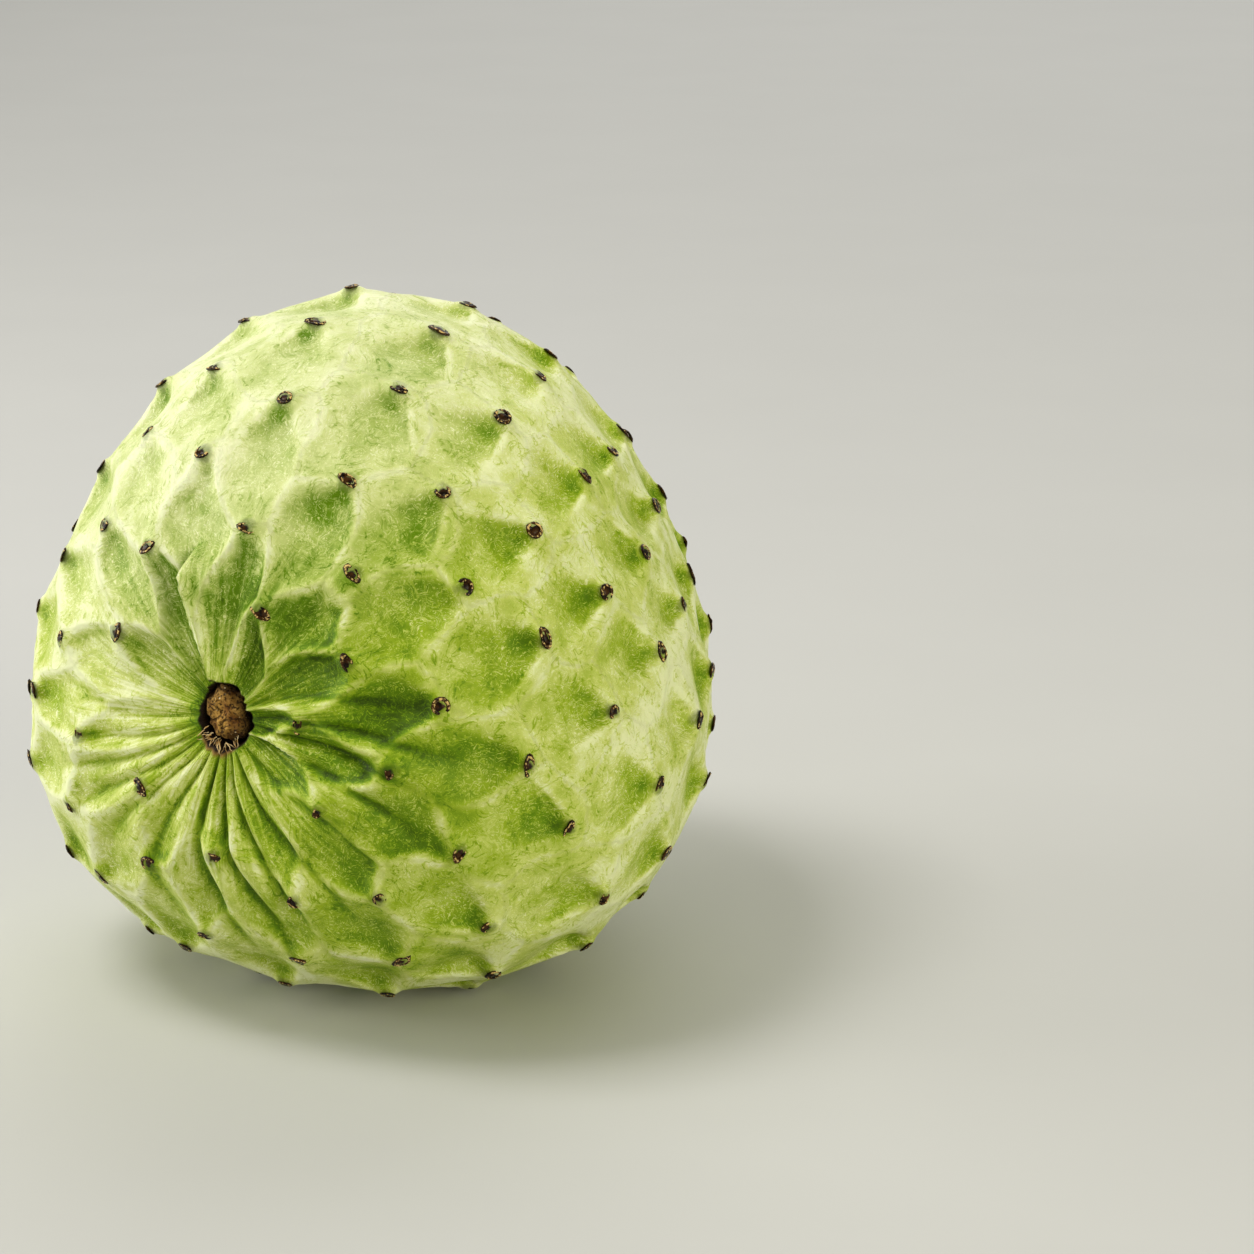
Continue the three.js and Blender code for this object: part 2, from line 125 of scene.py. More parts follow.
@dataclass(frozen=True)
class Waves:
    """Smooth repeatable noise: a sum of plane waves in random directions."""

    wavelength: float
    seed: int
    count: int = 14
    shortest: float = 0.7
    longest: float = 1.6
    height: float = 0.7

    def at(self, points: np.ndarray) -> np.ndarray:
        """Noise between about -1 and 1.

        Args:
            points: rows of x, y, z in the unit of the wavelength.

        Returns:
            One value for each row.
        """
        draw = np.random.default_rng(self.seed)
        ways = unit(draw.normal(size=(self.count, 3)))
        scale = FULL_TURN / (self.wavelength * draw.uniform(self.shortest, self.longest, self.count))
        phase = draw.uniform(0, FULL_TURN, self.count)
        total = np.zeros(len(points))
        for way, k, p in zip(ways, scale, phase):
            total += np.sin(points @ way * k + p)
        return total * math.sqrt(2 / self.count) * self.height


# The fruit's shape, in millimetres -------------------------------------------------------------


@dataclass(frozen=True)
class StemFrame:
    """Directions round the stem: out along the axis, upward and sideways."""

    axis: tuple[float, float, float] = (-0.442, -0.894, 0.075)

    @property
    def rows(self) -> np.ndarray:
        """Works out the frame.

        Returns:
            Upward, sideways and out, as the rows of a matrix.
        """
        out = unit(np.array(self.axis))
        up = unit(np.array([0, 0, 1]) - out[2] * out)
        return np.stack([up, np.cross(out, up), out])

    def ways(self, phi: np.ndarray, theta: np.ndarray) -> np.ndarray:
        """Directions at an angle phi from the stem, turned theta from upward."""
        return ball(phi, theta) @ self.rows

    def angles(self, ways: np.ndarray) -> tuple[np.ndarray, np.ndarray]:
        """Angles phi and theta of directions."""
        parts = ways @ self.rows.T
        return np.arccos(np.clip(parts[:, 2], -1, 1)), np.arctan2(parts[:, 1], parts[:, 0])


@dataclass(frozen=True)
class Body:
    """The smooth heart-shaped ball. Lengths are in millimetres, the other sizes in shares of its radius."""

    radius: float = 55.75
    end_stretch: float = 0.03
    shoulder: float = -0.028
    oval: float = 0.0194
    oval_angle: float = -0.11
    lobe: float = 0.068
    lobe_angle: float = 0.013
    dimple_depth: float = 8.0
    dimple_spread: float = 0.4
    flat_depth: float = 1.2
    search_ways: int = 16
    search_start: float = 0.2
    search_end: float = 0.0005
    search_shrink: float = 0.7

    def radii(self, stem: StemFrame, ways: np.ndarray) -> np.ndarray:
        """Works out how far the smooth surface is from the middle.

        Args:
            stem: the frame of the stem.
            ways: unit directions from the middle, one a row.

        Returns:
            The distance along each direction.
        """
        phi, theta = stem.angles(ways)
        girth = np.sin(phi)
        profile = 1 + self.end_stretch * np.cos(2 * phi) + self.shoulder * np.cos(3 * phi)
        oval = self.oval * girth**2 * np.cos(2 * (theta - self.oval_angle))
        lobes = self.lobe * girth**3 * np.cos(3 * (theta - self.lobe_angle))
        dimple = self.dimple_depth * bell(phi / self.dimple_spread)
        return self.radius * profile * (1 + oval + lobes) - dimple

    def lowest(self, stem: StemFrame) -> np.ndarray:
        """Closes in on the lowest point of the smooth surface.

        Args:
            stem: the frame of the stem.

        Returns:
            The point, from the middle.
        """
        best = np.array([0.0, 0.0, -1.0])
        turns = np.arange(self.search_ways) / self.search_ways * FULL_TURN
        circle = np.stack([np.cos(turns), np.sin(turns), np.zeros(self.search_ways)], -1)
        reach = self.search_start
        while reach > self.search_end:
            ways = unit(np.vstack([best, best + reach * circle]))
            best = ways[np.argmin(ways[:, 2] * self.radii(stem, ways))]
            reach *= self.search_shrink
        return best * self.radii(stem, best[None])[0]


class Stray(Enum):
    """What a carpel's own scatter is drawn for."""

    FROM_STEM = 1
    ROUND_STEM = 2
    SIZE = 3
    WIDTH = 6
    SHARP_SIDE = 7
    LEAN = 8


@dataclass(frozen=True)
class Spiral:
    """The places of the carpel tips: one spiral from the stem to the blossom end."""

    places: int = 170
    first: float = 5.1
    first_angle: float = 2.753
    turn: float = math.radians(137.4)
    crowding: float = 0.195
    tilt_x: float = -0.063
    tilt_y: float = -0.012
    scatter: float = 1.3
    size_variation: float = 0.22
    seed: float = 11.0
    halvings: int = 40
    narrowest: float = 0.2
    by_index: float = 12.9898
    by_use: float = 78.233
    gain: float = 43758.5453

    @property
    def index(self) -> np.ndarray:
        """Numbers of the carpels: the places of the spiral less the first few, which fall in the dimple."""
        return np.arange(math.ceil(self.places - self.first))

    def stray(self, use: Stray) -> np.ndarray:
        """Repeatable scatter of each carpel, between -1 and 1."""
        wave = np.sin(self.index * self.by_index + use.value * self.by_use + self.seed) * self.gain
        return 2 * (wave - np.floor(wave)) - 1

    def angles(self, stem: StemFrame, radius: float) -> tuple[np.ndarray, np.ndarray]:
        """Places the tips so that each has its share of the skin, somewhat less of it near both ends.

        Args:
            stem: the frame of the stem.
            radius: the body's radius, which turns the scatter to an angle.

        Returns:
            Angles phi and theta of each tip.
        """
        steps = self.index + self.first
        low, high = -np.ones(len(steps)), np.ones(len(steps))
        for _ in range(self.halvings):
            c = (low + high) / 2
            passed = ((1 - self.crowding) * (1 - c) + 2 / 3 * self.crowding * (1 - c**3)) / 2
            further = passed / (1 - self.crowding / 3) > steps / self.places
            low, high = np.where(further, c, low), np.where(further, high, c)
        spots = ball(np.arccos((low + high) / 2), self.first_angle + steps * self.turn)
        tilt = np.array(Matrix.Rotation(self.tilt_x, 3, "X") @ Matrix.Rotation(self.tilt_y, 3, "Y"))
        phi, theta = stem.angles(spots @ tilt.T @ stem.rows)
        phi = phi + self.scatter / radius * self.stray(Stray.FROM_STEM)
        girth = np.maximum(np.sin(phi), self.narrowest)
        return phi, theta + self.scatter / radius * self.stray(Stray.ROUND_STEM) / girth


@dataclass
class Spots:
    """Where directions lie on their own carpels, one value for each direction.

    Attributes:
        owner: number of the carpel.
        inside: millimetres to the border with the next carpel.
        across: millimetres sideways from the tip.
        along: millimetres away from the stem from the tip.
        behind: millimetres from the tip towards the stem, at least 0.
        near: 1 on the carpels at the stem, fading to 0 on those far from it.
        next_behind: the same as behind, from the tip of the next carpel.
        next_near: the same as near, for the next carpel.
        slant: millimetres sideways from the hollow's leaning middle line.
        half: half width of the hollow there.
        handed: across, counted towards the carpel's sharper side.
        crisp: 1 on the carpel's sharper side and less on the other.
    """

    owner: np.ndarray
    inside: np.ndarray
    across: np.ndarray
    along: np.ndarray
    behind: np.ndarray
    near: np.ndarray
    next_behind: np.ndarray
    next_near: np.ndarray
    slant: np.ndarray
    half: np.ndarray
    handed: np.ndarray
    crisp: np.ndarray


@dataclass(frozen=True)
class Nose:
    """The raised skin round a tip, and the beak on it that carries the dried style."""

    height: float = 0.7
    half_width: float = 5.0
    far_side: float = 7.0
    stem_side: float = 2.6
    beak_height: float = 0.6
    beak_radius: float = 1.8
    shadow_back: float = 1.9
    shadow_length: float = 1.5
    shadow_width: float = 1.7
    reach: float = 24.0

    def raised(self, across: np.ndarray, along: np.ndarray) -> np.ndarray:
        """Works out the height of the nose and its beak.

        Args:
            across: millimetres sideways from the tip.
            along: millimetres away from the stem from the tip.

        Returns:
            Millimetres above the smooth skin.
        """
        length = np.where(along > 0, self.far_side, self.stem_side)
        nose = self.height * np.exp(-((across / self.half_width) ** 2) - (along / length) ** 2)
        return nose + self.beak_height * bell(np.hypot(across, along) / self.beak_radius, 4)

    def shadow(self, across: np.ndarray, along: np.ndarray) -> np.ndarray:
        """Dark patch of skin under the overhanging beak, from 0 to 1."""
        back = (along + self.shadow_back) / self.shadow_length
        return np.exp(-(back**2) - (across / self.shadow_width) ** 2)


@dataclass(frozen=True)
class Hollow:
    """The hollow on the stem side of a tip. What ends in by_stem is added on the carpels at the stem."""

    depth: float = 1.85
    peak: float = 3.2
    peak_by_stem: float = 4.4
    floor: float = 0.15
    floor_start: float = 2.0
    tip_width: float = 1.4
    width_variation: float = 0.2
    widening: float = 0.58
    widening_by_stem: float = 0.29
    lean: float = 0.28
    squareness: float = 3.4
    squareness_by_stem: float = 0.6
    bank: float = 3.0
    bank_by_stem: float = -2.2
    tint_start: float = 0.3
    tint_full: float = 2.0
    tint_holds: float = 4.5
    tint_fade: float = 6.0
    tint_fade_by_stem: float = 8.0
    tint_squareness: float = 5.5
    tint_bank: float = 1.4

    def dip(self, spots: Spots) -> np.ndarray:
        """Works out the hollow's shape.

        Args:
            spots: where the directions lie on their carpels.

        Returns:
            Share of the full depth, from 0 to about 1.
        """
        reach = spots.behind / (self.peak + self.peak_by_stem * spots.near)
        dip = (1 - self.floor) * reach * np.exp(1 - reach)
        dip = dip + self.floor * smoothstep(0, self.floor_start, spots.behind)
        across = bell(spots.slant / spots.half, self.squareness + self.squareness_by_stem * spots.near)
        return dip * across * (1 - np.exp(-spots.inside / (self.bank + self.bank_by_stem * spots.near)))

    def tint(self, spots: Spots) -> np.ndarray:
        """Works out how green the hollow is: partly the skin's own green, partly painted shade on the stem
        side of the tip.

        Args:
            spots: where the directions lie on their carpels.

        Returns:
            A mask from 0 to 1.
        """
        past = np.maximum(spots.behind - self.tint_holds, 0)
        fade = np.exp(-past / (self.tint_fade + self.tint_fade_by_stem * spots.near))
        edge = bell(spots.slant / spots.half, self.tint_squareness)
        bank = 1 - np.exp(-spots.inside / self.tint_bank)
        return smoothstep(self.tint_start, self.tint_full, spots.behind) * fade * edge * bank


@dataclass(frozen=True)
class Border:
    """The ridges where carpels meet, the brows beside each hollow and the creases along both."""

    ridge_height: float = 0.65
    ridge_width: float = 2.2
    ridge_width_by_stem: float = -1.0
    ridge_far: float = 0.2
    ridge_fade: float = 10.0
    vein_width: float = 0.85
    vein_far: float = 0.4
    vein_fade: float = 18.0
    vein_on_ridge: float = 0.5
    vein_on_brow: float = 0.8
    start: float = 2.0
    brow_height: float = 0.42
    brow_width: float = 1.2
    brow_length: float = 7.5
    brow_start: float = 0.5
    brow_full: float = 2.5
    brow_loss_by_stem: float = 0.6
    crease_depth: float = 0.25
    crease_width: float = 0.55
    crease_inset: float = 1.1
    crease_side: float = 1.5
    crease_ends: tuple[float, float, float, float] = (0.5, 2.5, 6.0, 13.0)
    fold_inset: float = 0.5
    fold_share: float = 0.7
    fold_soft_side: float = 0.4
    fold_ends: tuple[float, float, float, float] = (0.5, 2.0, 4.0, 9.0)

    def held(self, spots: Spots, far: float, fade: float) -> np.ndarray:
        """Works out how strongly a border shows, from the stronger of the two carpels that it parts.

        Args:
            spots: where the directions lie on their carpels.
            far: strength on carpels far from the stem, against 1 at the stem.
            fade: millimetres behind a tip in which the border fades.

        Returns:
            A strength from 0 to 1.
        """
        sides = []
        for behind, near in ((spots.behind, spots.near), (spots.next_behind, spots.next_near)):
            strength = far + (1 - far) * near
            sides.append(strength * np.exp(-behind / fade) * smoothstep(0, self.start, behind))
        return np.maximum(*sides)

    def ridge(self, spots: Spots) -> np.ndarray:
        """Raised ridge along the border, from 0 to 1."""
        width = self.ridge_width + self.ridge_width_by_stem * spots.near
        return bell(spots.inside / width) * self.held(spots, self.ridge_far, self.ridge_fade)

    def vein(self, spots: Spots) -> np.ndarray:
        """Thin pale line along the border, from 0 to 1."""
        return bell(spots.inside / self.vein_width) * self.held(spots, self.vein_far, self.vein_fade)

    def brow(self, spots: Spots) -> np.ndarray:
        """Works out the raised brow along each side of the hollow.

        Args:
            spots: where the directions lie on their carpels.

        Returns:
            A mask from 0 to 1.
        """
        brow = bell((np.abs(spots.slant) - spots.half) / self.brow_width)
        brow = brow * smoothstep(self.brow_start, self.brow_full, spots.behind)
        brow = brow * np.exp(-spots.behind / self.brow_length) * spots.crisp
        return brow * (1 - self.brow_loss_by_stem * spots.near)

    def crease(self, spots: Spots) -> np.ndarray:
        """Works out the fine creases: beside the border at the stem, inside the brow elsewhere.

        Args:
            spots: where the directions lie on their carpels.

        Returns:
            A mask from 0 to 1.
        """
        fold = bell((spots.half - np.abs(spots.slant) - self.fold_inset) / self.crease_width)
        fold = fold * smoothstep(self.fold_soft_side, 1, spots.crisp)
        fold = fold * stretch(spots.behind, self.fold_ends) * (1 - spots.near)
        crease = bell((spots.inside - self.crease_inset) / self.crease_width)
        crease = crease * smoothstep(0, self.crease_side, spots.handed)
        crease = crease * spots.near * stretch(spots.behind, self.crease_ends)
        return np.maximum(crease, self.fold_share * fold)


@dataclass(frozen=True)
class Carpel:
    """One carpel: a patch of skin with its raised tip at the far end from the stem.

    Sharp ridges part it from its neighbours, and it dips to a hollow on the stem side of the tip.
    """

    nose: Nose = Nose()
    hollow: Hollow = Hollow()
    border: Border = Border()
    patch_shift: float = 7.2
    patch_opening: float = 0.3
    patch_plain: float = 0.95
    patch_nearest: float = 0.05
    near_stem: float = 46.0
    soft_side: float = 0.5
    waver: float = 1.2
    waver_ways: tuple[tuple[float, float, float], ...] = ((0, 0.31, 0.17), (0.19, 0, 0.29), (0.33, 0.15, 0))
    waver_starts: tuple[float, float, float] = (0.5, 2.1, 4.0)

    def opened(self, phi: np.ndarray) -> np.ndarray:
        """Angle from the stem, stretched so that patches close to the stem come out long and narrow."""
        near = self.patch_opening + (1 - self.patch_opening / self.patch_plain) * phi
        return np.where(phi < self.patch_plain, near, phi)

    def shift(self, points: np.ndarray) -> np.ndarray:
        """Small shifts to and fro, so that borders aren't straight."""
        return self.waver * np.sin(points @ np.array(self.waver_ways).T + self.waver_starts)


@dataclass(frozen=True)
class Folds:
    """Rounded folds that run out from the stem, strongest below it."""

    count: int = 23
    depth: float = 2.0
    start: float = 3.0
    full: float = 12.0
    fade: float = 27.0
    end: float = 52.0
    end_weakest: float = 0.65
    weakest: float = 0.2
    strong_from: float = 0.25
    strong_to: float = 0.85
    uneven: tuple[tuple[float, float, float], ...] = ((-0.16, 1, 0.2), (0.06, 5, 2))
    sway: float = 0.12
    sway_length: float = 9.0
    sway_turns: int = 2
    side: float = 0.25
    unlike: float = 0.25
    unlike_turns: int = 4
    unlike_start: float = 1.3
    valley_share: float = 0.6
    valley_sharpness: float = 1.6

    def phase(self, theta: np.ndarray) -> np.ndarray:
        """Angle that runs evenly from fold to fold, though the folds are unevenly spaced."""
        return theta + sum(share * np.sin(turns * theta + start) for share, turns, start in self.uneven)

    def relief(self, from_stem: np.ndarray, theta: np.ndarray) -> tuple[np.ndarray, np.ndarray]:
        """Works out the folds.

        Args:
            from_stem: millimetres from the stem along the skin.
            theta: angle round the stem, from upward.

        Returns:
            Height in millimetres, and from 0 to 1 the painted shade in the valleys.
        """
        below = (1 - np.cos(theta - self.side)) / 2
        strength = self.weakest + (1 - self.weakest) * smoothstep(self.strong_from, self.strong_to, below)
        unlike = self.unlike * np.sin(self.unlike_turns * theta + self.unlike_start)
        strength = strength * (1 - self.unlike + unlike)
        end = self.end * (self.end_weakest + (1 - self.end_weakest) * strength)
        reach = stretch(from_stem, (self.start, self.full, self.fade, end)) * strength
        sway = self.sway * np.sin(from_stem / self.sway_length + self.sway_turns * theta)
        swayed = self.phase(theta) + sway
        wave = np.abs(np.sin(self.count * swayed / 2))
        # painted shade in the fold valleys
        valley_shade = reach * np.clip(1 - wave * self.valley_sharpness, 0, 1)
        return self.depth * reach * (wave - self.valley_share), valley_shade


@dataclass(frozen=True)
class Lip:
    """The one bold lip above the stem: a swelling with a sharp edge and a groove beside it."""

    angle: float = 0.14
    bulge: float = 0.16
    height: float = 3.3
    roundness: float = 5.0
    edge: float = 0.45
    crest_width: float = 1.6
    start: float = 5.0
    start_ease: float = 2.0
    end: float = 30.0
    end_ease: float = 8.0
    groove_depth: float = 1.1
    groove_width: float = 0.7
    side_width: float = 3.2
    side_depth: float = 0.5
    # painted shade beside the lip
    side_shade: float = 0.45

    def relief(self, from_stem: np.ndarray, theta: np.ndarray, girth: np.ndarray) -> tuple[np.ndarray, ...]:
        """Works out the lip.

        Args:
            from_stem: millimetres from the stem along the skin.
            theta: angle round the stem, from upward.
            girth: distance from the stem's axis in millimetres.

        Returns:
            Height in millimetres, then from 0 to 1 the painted shade in the groove and beside the lip, and
            how near its crest.
        """
        share = np.clip((from_stem - self.start) / (self.end - self.start), 0, 1)
        middle = self.angle + self.bulge * np.sin(np.pi * share)
        off = girth * ((theta - middle + math.pi) % FULL_TURN - math.pi)
        before, past = np.minimum(off, 0), np.maximum(off, 0)
        rise = (self.start - self.start_ease, self.start + self.start_ease)
        held = stretch(from_stem, (*rise, self.end - self.end_ease, self.end))
        bulge = np.where(off < 0, np.exp(before / self.roundness), np.exp(-past / self.edge))
        groove = bell((off - self.groove_width) / self.groove_width)
        crest = held * np.where(off < 0, np.exp(before / self.crest_width), 0)
        beside = held * np.where(off > 0, np.exp(-past / self.side_width), 0)
        height = held * (self.height * bulge - self.groove_depth * groove) - self.side_depth * beside
        return height, held * groove + self.side_shade * beside, crest


@dataclass(frozen=True)
class Calm:
    """The smooth swelling beside the stem, where the carpels' relief is quiet."""

    quiet: float = 0.72
    angle: float = 2.45
    half_angle: float = 1.6
    reach: float = 34.0

    def at(self, from_stem: np.ndarray, theta: np.ndarray) -> np.ndarray:
        """Share of the relief that is left."""
        turned = (theta % FULL_TURN - self.angle) / self.half_angle
        return 1 - self.quiet * np.exp(-(turned**4) - (from_stem / self.reach) ** 4)


@dataclass(frozen=True)
class Scar:
    """The oval blind scar in the stem dimple, and its ragged rim."""

    radius: float = 4.3
    oval: float = 1.25
    depth: float = 6.0
    wall: float = 0.12
    wall_end: float = 1.02
    wave: float = 0.04
    wave_turns: int = 3
    wave_start: float = 1.0
    raggedness: float = 0.035
    rags: Waves = Waves(2.2, 31)
    far: float = 9.0

    def rim(self, across: np.ndarray, theta: np.ndarray, points: np.ndarray) -> np.ndarray:
        """Works out how far out of the scar each point is.

        Args:
            across: upward, sideways and outward parts in the stem's frame, in millimetres.
            theta: angle round the stem, from upward.
            points: the points on the plain ball.

        Returns:
            0 in the middle of the scar, 1 at its rim and more outside it.
        """
        wave = self.wave * np.sin(self.wave_turns * theta + self.wave_start)
        ragged = 1 + wave + self.raggedness * self.rags.at(points)
        rim = np.hypot(across[:, 1] / self.radius, across[:, 0] / self.radius / self.oval)
        return np.where(across[:, 2] > 0, rim / ragged, self.far)

    def cut(self, rim: np.ndarray) -> np.ndarray:
        """Depth of the scar in millimetres."""
        return self.depth * (1 - smoothstep(1 - self.wall, self.wall_end, rim))


@dataclass(frozen=True)
class PaintedLightAndMarks:
    """Painted light on the skin, and its own marks: painted shade round the stem on its shaded side, in the
    dimple and in the hollows there, and a paler painted highlight on the side towards the key light; a
    greener blossom end, the scar's bark and the frayed rust at its rim.
    """

    # Painted shade round the stem on one side, less of it right at the stem.
    shade_reach: float = 56.0
    shade_angle: float = 4.9
    shade_least: float = 0.5
    stem_light: float = 0.5
    stem_light_reach: float = 17.0
    # The skin's own deeper green towards the blossom end.
    blossom_green: float = 0.25
    blossom_from: float = 1.6
    blossom_to: float = 2.3
    clouding: float = 0.12
    clouds: Waves = Waves(24, 9)
    # Painted highlight: the skin grows paler and whiter towards this way, the side the key light falls on.
    highlight_way: tuple[float, float, float] = (-0.4, -0.3, 0.86)
    highlight_edge: tuple[float, float] = (0.5, 1.0)
    highlight_on_hollow: float = 0.3
    # Painted shade in the hollows: darker green near the stem on its shaded side.
    hollow_shade_reach: float = 52.0
    hollow_shade_angle: float = 5.2
    hollow_shade_least: float = 0.66
    hollow_plain: float = 0.62
    hollow_in_shade: float = 0.36
    hollow_clouding: float = 0.15
    hollow_clouds: Waves = Waves(18, 12)
    scar_edge: tuple[float, float] = (0.9, 1.3)
    # Painted shade in the dimple beside the stub.
    dimple_shade_from_stem: float = 4.0
    dimple_shade_width: float = 4.5
    dimple_shade_angle: float = 1.5
    dimple_shade_least: float = 0.6
    frayed_angle: float = -0.25
    frayed_edge: tuple[float, float] = (0.95, 1.35)
    frayed_side: tuple[float, float] = (0.55, 0.95)

    def side(self, theta: np.ndarray, angle: float, least: float) -> np.ndarray:
        """Strength round the stem: 1 at an angle, falling to 2 * least - 1 on the far side of it."""
        return least + (1 - least) * np.cos(theta - angle)

    def masks(self, at: dict[str, np.ndarray]) -> dict[str, np.ndarray]:
        """Works out the masks that colour the skin.

        Args:
            at: phi, theta, from_stem, rim, ways and points of the skin, and the mask hollow.

        Returns:
            Masks by name.
        """
        theta, from_stem, rim = at["theta"], at["from_stem"], at["rim"]
        # painted shade round the stem, with the skin's own greener blossom end and random clouds added
        shade = bell(from_stem / self.shade_reach) * self.side(theta, self.shade_angle, self.shade_least)
        shade = shade * (1 - self.stem_light * bell(from_stem / self.stem_light_reach))
        shade = shade + self.blossom_green * smoothstep(self.blossom_from, self.blossom_to, at["phi"])
        # painted highlight on the side towards the key light
        painted_highlight = smoothstep(*self.highlight_edge, at["ways"] @ unit(np.array(self.highlight_way)))
        # painted light in the hollows: darker green on the stem's shaded side, paler under the painted
        # highlight
        hollow_shade = bell(from_stem / self.hollow_shade_reach) * self.side(theta, self.hollow_shade_angle, self.hollow_shade_least)
        clouds = self.hollow_clouding * self.hollow_clouds.at(at["points"])
        hollow = at["hollow"] * (1 - self.highlight_on_hollow * painted_highlight)
        hollow = hollow * (self.hollow_plain + self.hollow_in_shade * hollow_shade + clouds)
        # painted shade in the dimple beside the stub
        dimple_shade = bell((from_stem - self.dimple_shade_from_stem) / self.dimple_shade_width)
        below = smoothstep(*self.frayed_side, -np.cos(theta - self.frayed_angle))
        return {
            "hollow": hollow,
            "shade": np.clip(shade + self.clouding * self.clouds.at(at["points"]), 0, 1),
            "painted_highlight": painted_highlight,
            "scar": 1 - smoothstep(*self.scar_edge, rim),
            "dimple_shade": dimple_shade * self.side(theta, self.dimple_shade_angle, self.dimple_shade_least),
            "frayed": (1 - smoothstep(*self.frayed_edge, rim)) * below,
            "swirl": np.stack([np.cos(theta), np.sin(theta), from_stem * SWIRL_PITCH], -1),
        }


@dataclass
class Skin:
    """The fruit's surface: where it lies along each direction, and what grows there."""

    stem: StemFrame = field(default_factory=StemFrame)
    body: Body = field(default_factory=Body)
    spiral: Spiral = field(default_factory=Spiral)
    carpel: Carpel = field(default_factory=Carpel)
    folds: Folds = field(default_factory=Folds)
    lip: Lip = field(default_factory=Lip)
    calm: Calm = field(default_factory=Calm)
    scar: Scar = field(default_factory=Scar)
    light_and_marks: PaintedLightAndMarks = field(default_factory=PaintedLightAndMarks)
    smooth_underside: float = 11.0
    relief_returns: float = 26.0

    def __post_init__(self) -> None:
        """Works out the tips and the resting place once."""
        radius, spiral, hollow = self.body.radius, self.spiral, self.carpel.hollow
        self.tip_phi, self.tip_theta = spiral.angles(self.stem, radius)
        self.tip_ways = self.stem.ways(self.tip_phi, self.tip_theta)
        self.tip_away = self.stem.ways(self.tip_phi + math.pi / 2, self.tip_theta)
        square = np.full_like(self.tip_phi, math.pi / 2)
        self.tip_across = self.stem.ways(square, self.tip_theta + math.pi / 2)
        self.tip_near = bell(radius * self.tip_phi / self.carpel.near_stem, 4)
        self.tip_sizes = 1 + spiral.size_variation * spiral.stray(Stray.SIZE)
        self.tip_widths = 1 + hollow.width_variation * spiral.stray(Stray.WIDTH)
        self.tip_leans = hollow.lean * spiral.stray(Stray.LEAN)
        self.tip_hands = np.sign(spiral.stray(Stray.SHARP_SIDE))
        self.lowest = self.body.lowest(self.stem)
        self.middle = np.array([-self.lowest[0], -self.lowest[1], -self.lowest[2] - self.body.flat_depth])
        self.pole = self.body.radii(self.stem, self.stem.rows[2:])[0]

    def patches(self, ways: np.ndarray) -> tuple[np.ndarray, np.ndarray, np.ndarray]:
        """Finds the patch of skin that each direction lies in.

        Args:
            ways: unit directions from the middle, one a row.

        Returns:
            The number of its carpel, that of the next nearest one, and millimetres to the border between.
        """
        carpel, radius = self.carpel, self.body.radius
        phi, theta = self.stem.angles(ways)
        mapped = unit(self.stem.ways(carpel.opened(phi), theta) * radius + carpel.shift(ways * radius))
        seed_phi = carpel.opened(self.tip_phi) - carpel.patch_shift / radius
        seeds = self.stem.ways(np.maximum(seed_phi, carpel.patch_nearest), self.tip_theta)
        closeness = mapped @ seeds.T
        order = np.argpartition(-closeness, 1, axis=1)[:, :2]
        pair = np.take_along_axis(closeness, order, axis=1)
        swap = pair[:, 0] < pair[:, 1]
        first = np.where(swap, order[:, 1], order[:, 0])
        second = np.where(swap, order[:, 0], order[:, 1])
        gaps = radius * np.arccos(np.clip(pair, -1, 1))
        return first, second, np.abs(gaps[:, 0] - gaps[:, 1]) / 2

    def spots(self, ways: np.ndarray) -> Spots:
        """Finds where directions lie on their own carpels.

        Args:
            ways: unit directions from the middle, one a row.

        Returns:
            The places on the carpels.
        """
        carpel, hollow = self.carpel, self.carpel.hollow
        owner, neighbour, inside = self.patches(ways)
        across = self.body.radius * np.sum(ways * self.tip_across[owner], axis=1)
        along = self.body.radius * np.sum(ways * self.tip_away[owner], axis=1)
        next_along = self.body.radius * np.sum(ways * self.tip_away[neighbour], axis=1)
        behind, near = np.maximum(-along, 0), self.tip_near[owner]
        slant = across - self.tip_leans[owner] * (1 - near) * behind
        half = hollow.tip_width + (hollow.widening + hollow.widening_by_stem * near) * behind
        return Spots(
            owner=owner,
            inside=inside,
            across=across,
            along=along,
            behind=behind,
            near=near,
            next_behind=np.maximum(-next_along, 0),
            next_near=self.tip_near[neighbour],
            slant=slant,
            half=half * self.tip_widths[owner],
            handed=across * self.tip_hands[owner],
            crisp=np.where(slant * self.tip_hands[owner] > 0, 1.0, carpel.soft_side),
        )

    def noses(self, ways: np.ndarray) -> tuple[np.ndarray, np.ndarray, np.ndarray]:
        """Works out what stands round the tips.

        Args:
            ways: unit directions from the middle, one a row.

        Returns:
            Height in millimetres, the dark patch from 0 to 1, and millimetres to the nearest tip.
        """
        nose, radius = self.carpel.nose, self.body.radius
        raised, shadow, nearest = np.zeros(len(ways)), np.zeros(len(ways)), np.full(len(ways), nose.reach)
        for way, away, side_way, size in zip(self.tip_ways, self.tip_away, self.tip_across, self.tip_sizes):
            seen = np.nonzero(ways @ way > math.cos(nose.reach / radius))[0]
            across, along = radius * ways[seen] @ side_way, radius * ways[seen] @ away
            nearest[seen] = np.minimum(nearest[seen], np.hypot(across, along))
            shadow[seen] = np.maximum(shadow[seen], nose.shadow(across, along))
            raised[seen] += size * nose.raised(across, along)
        return raised, shadow, nearest

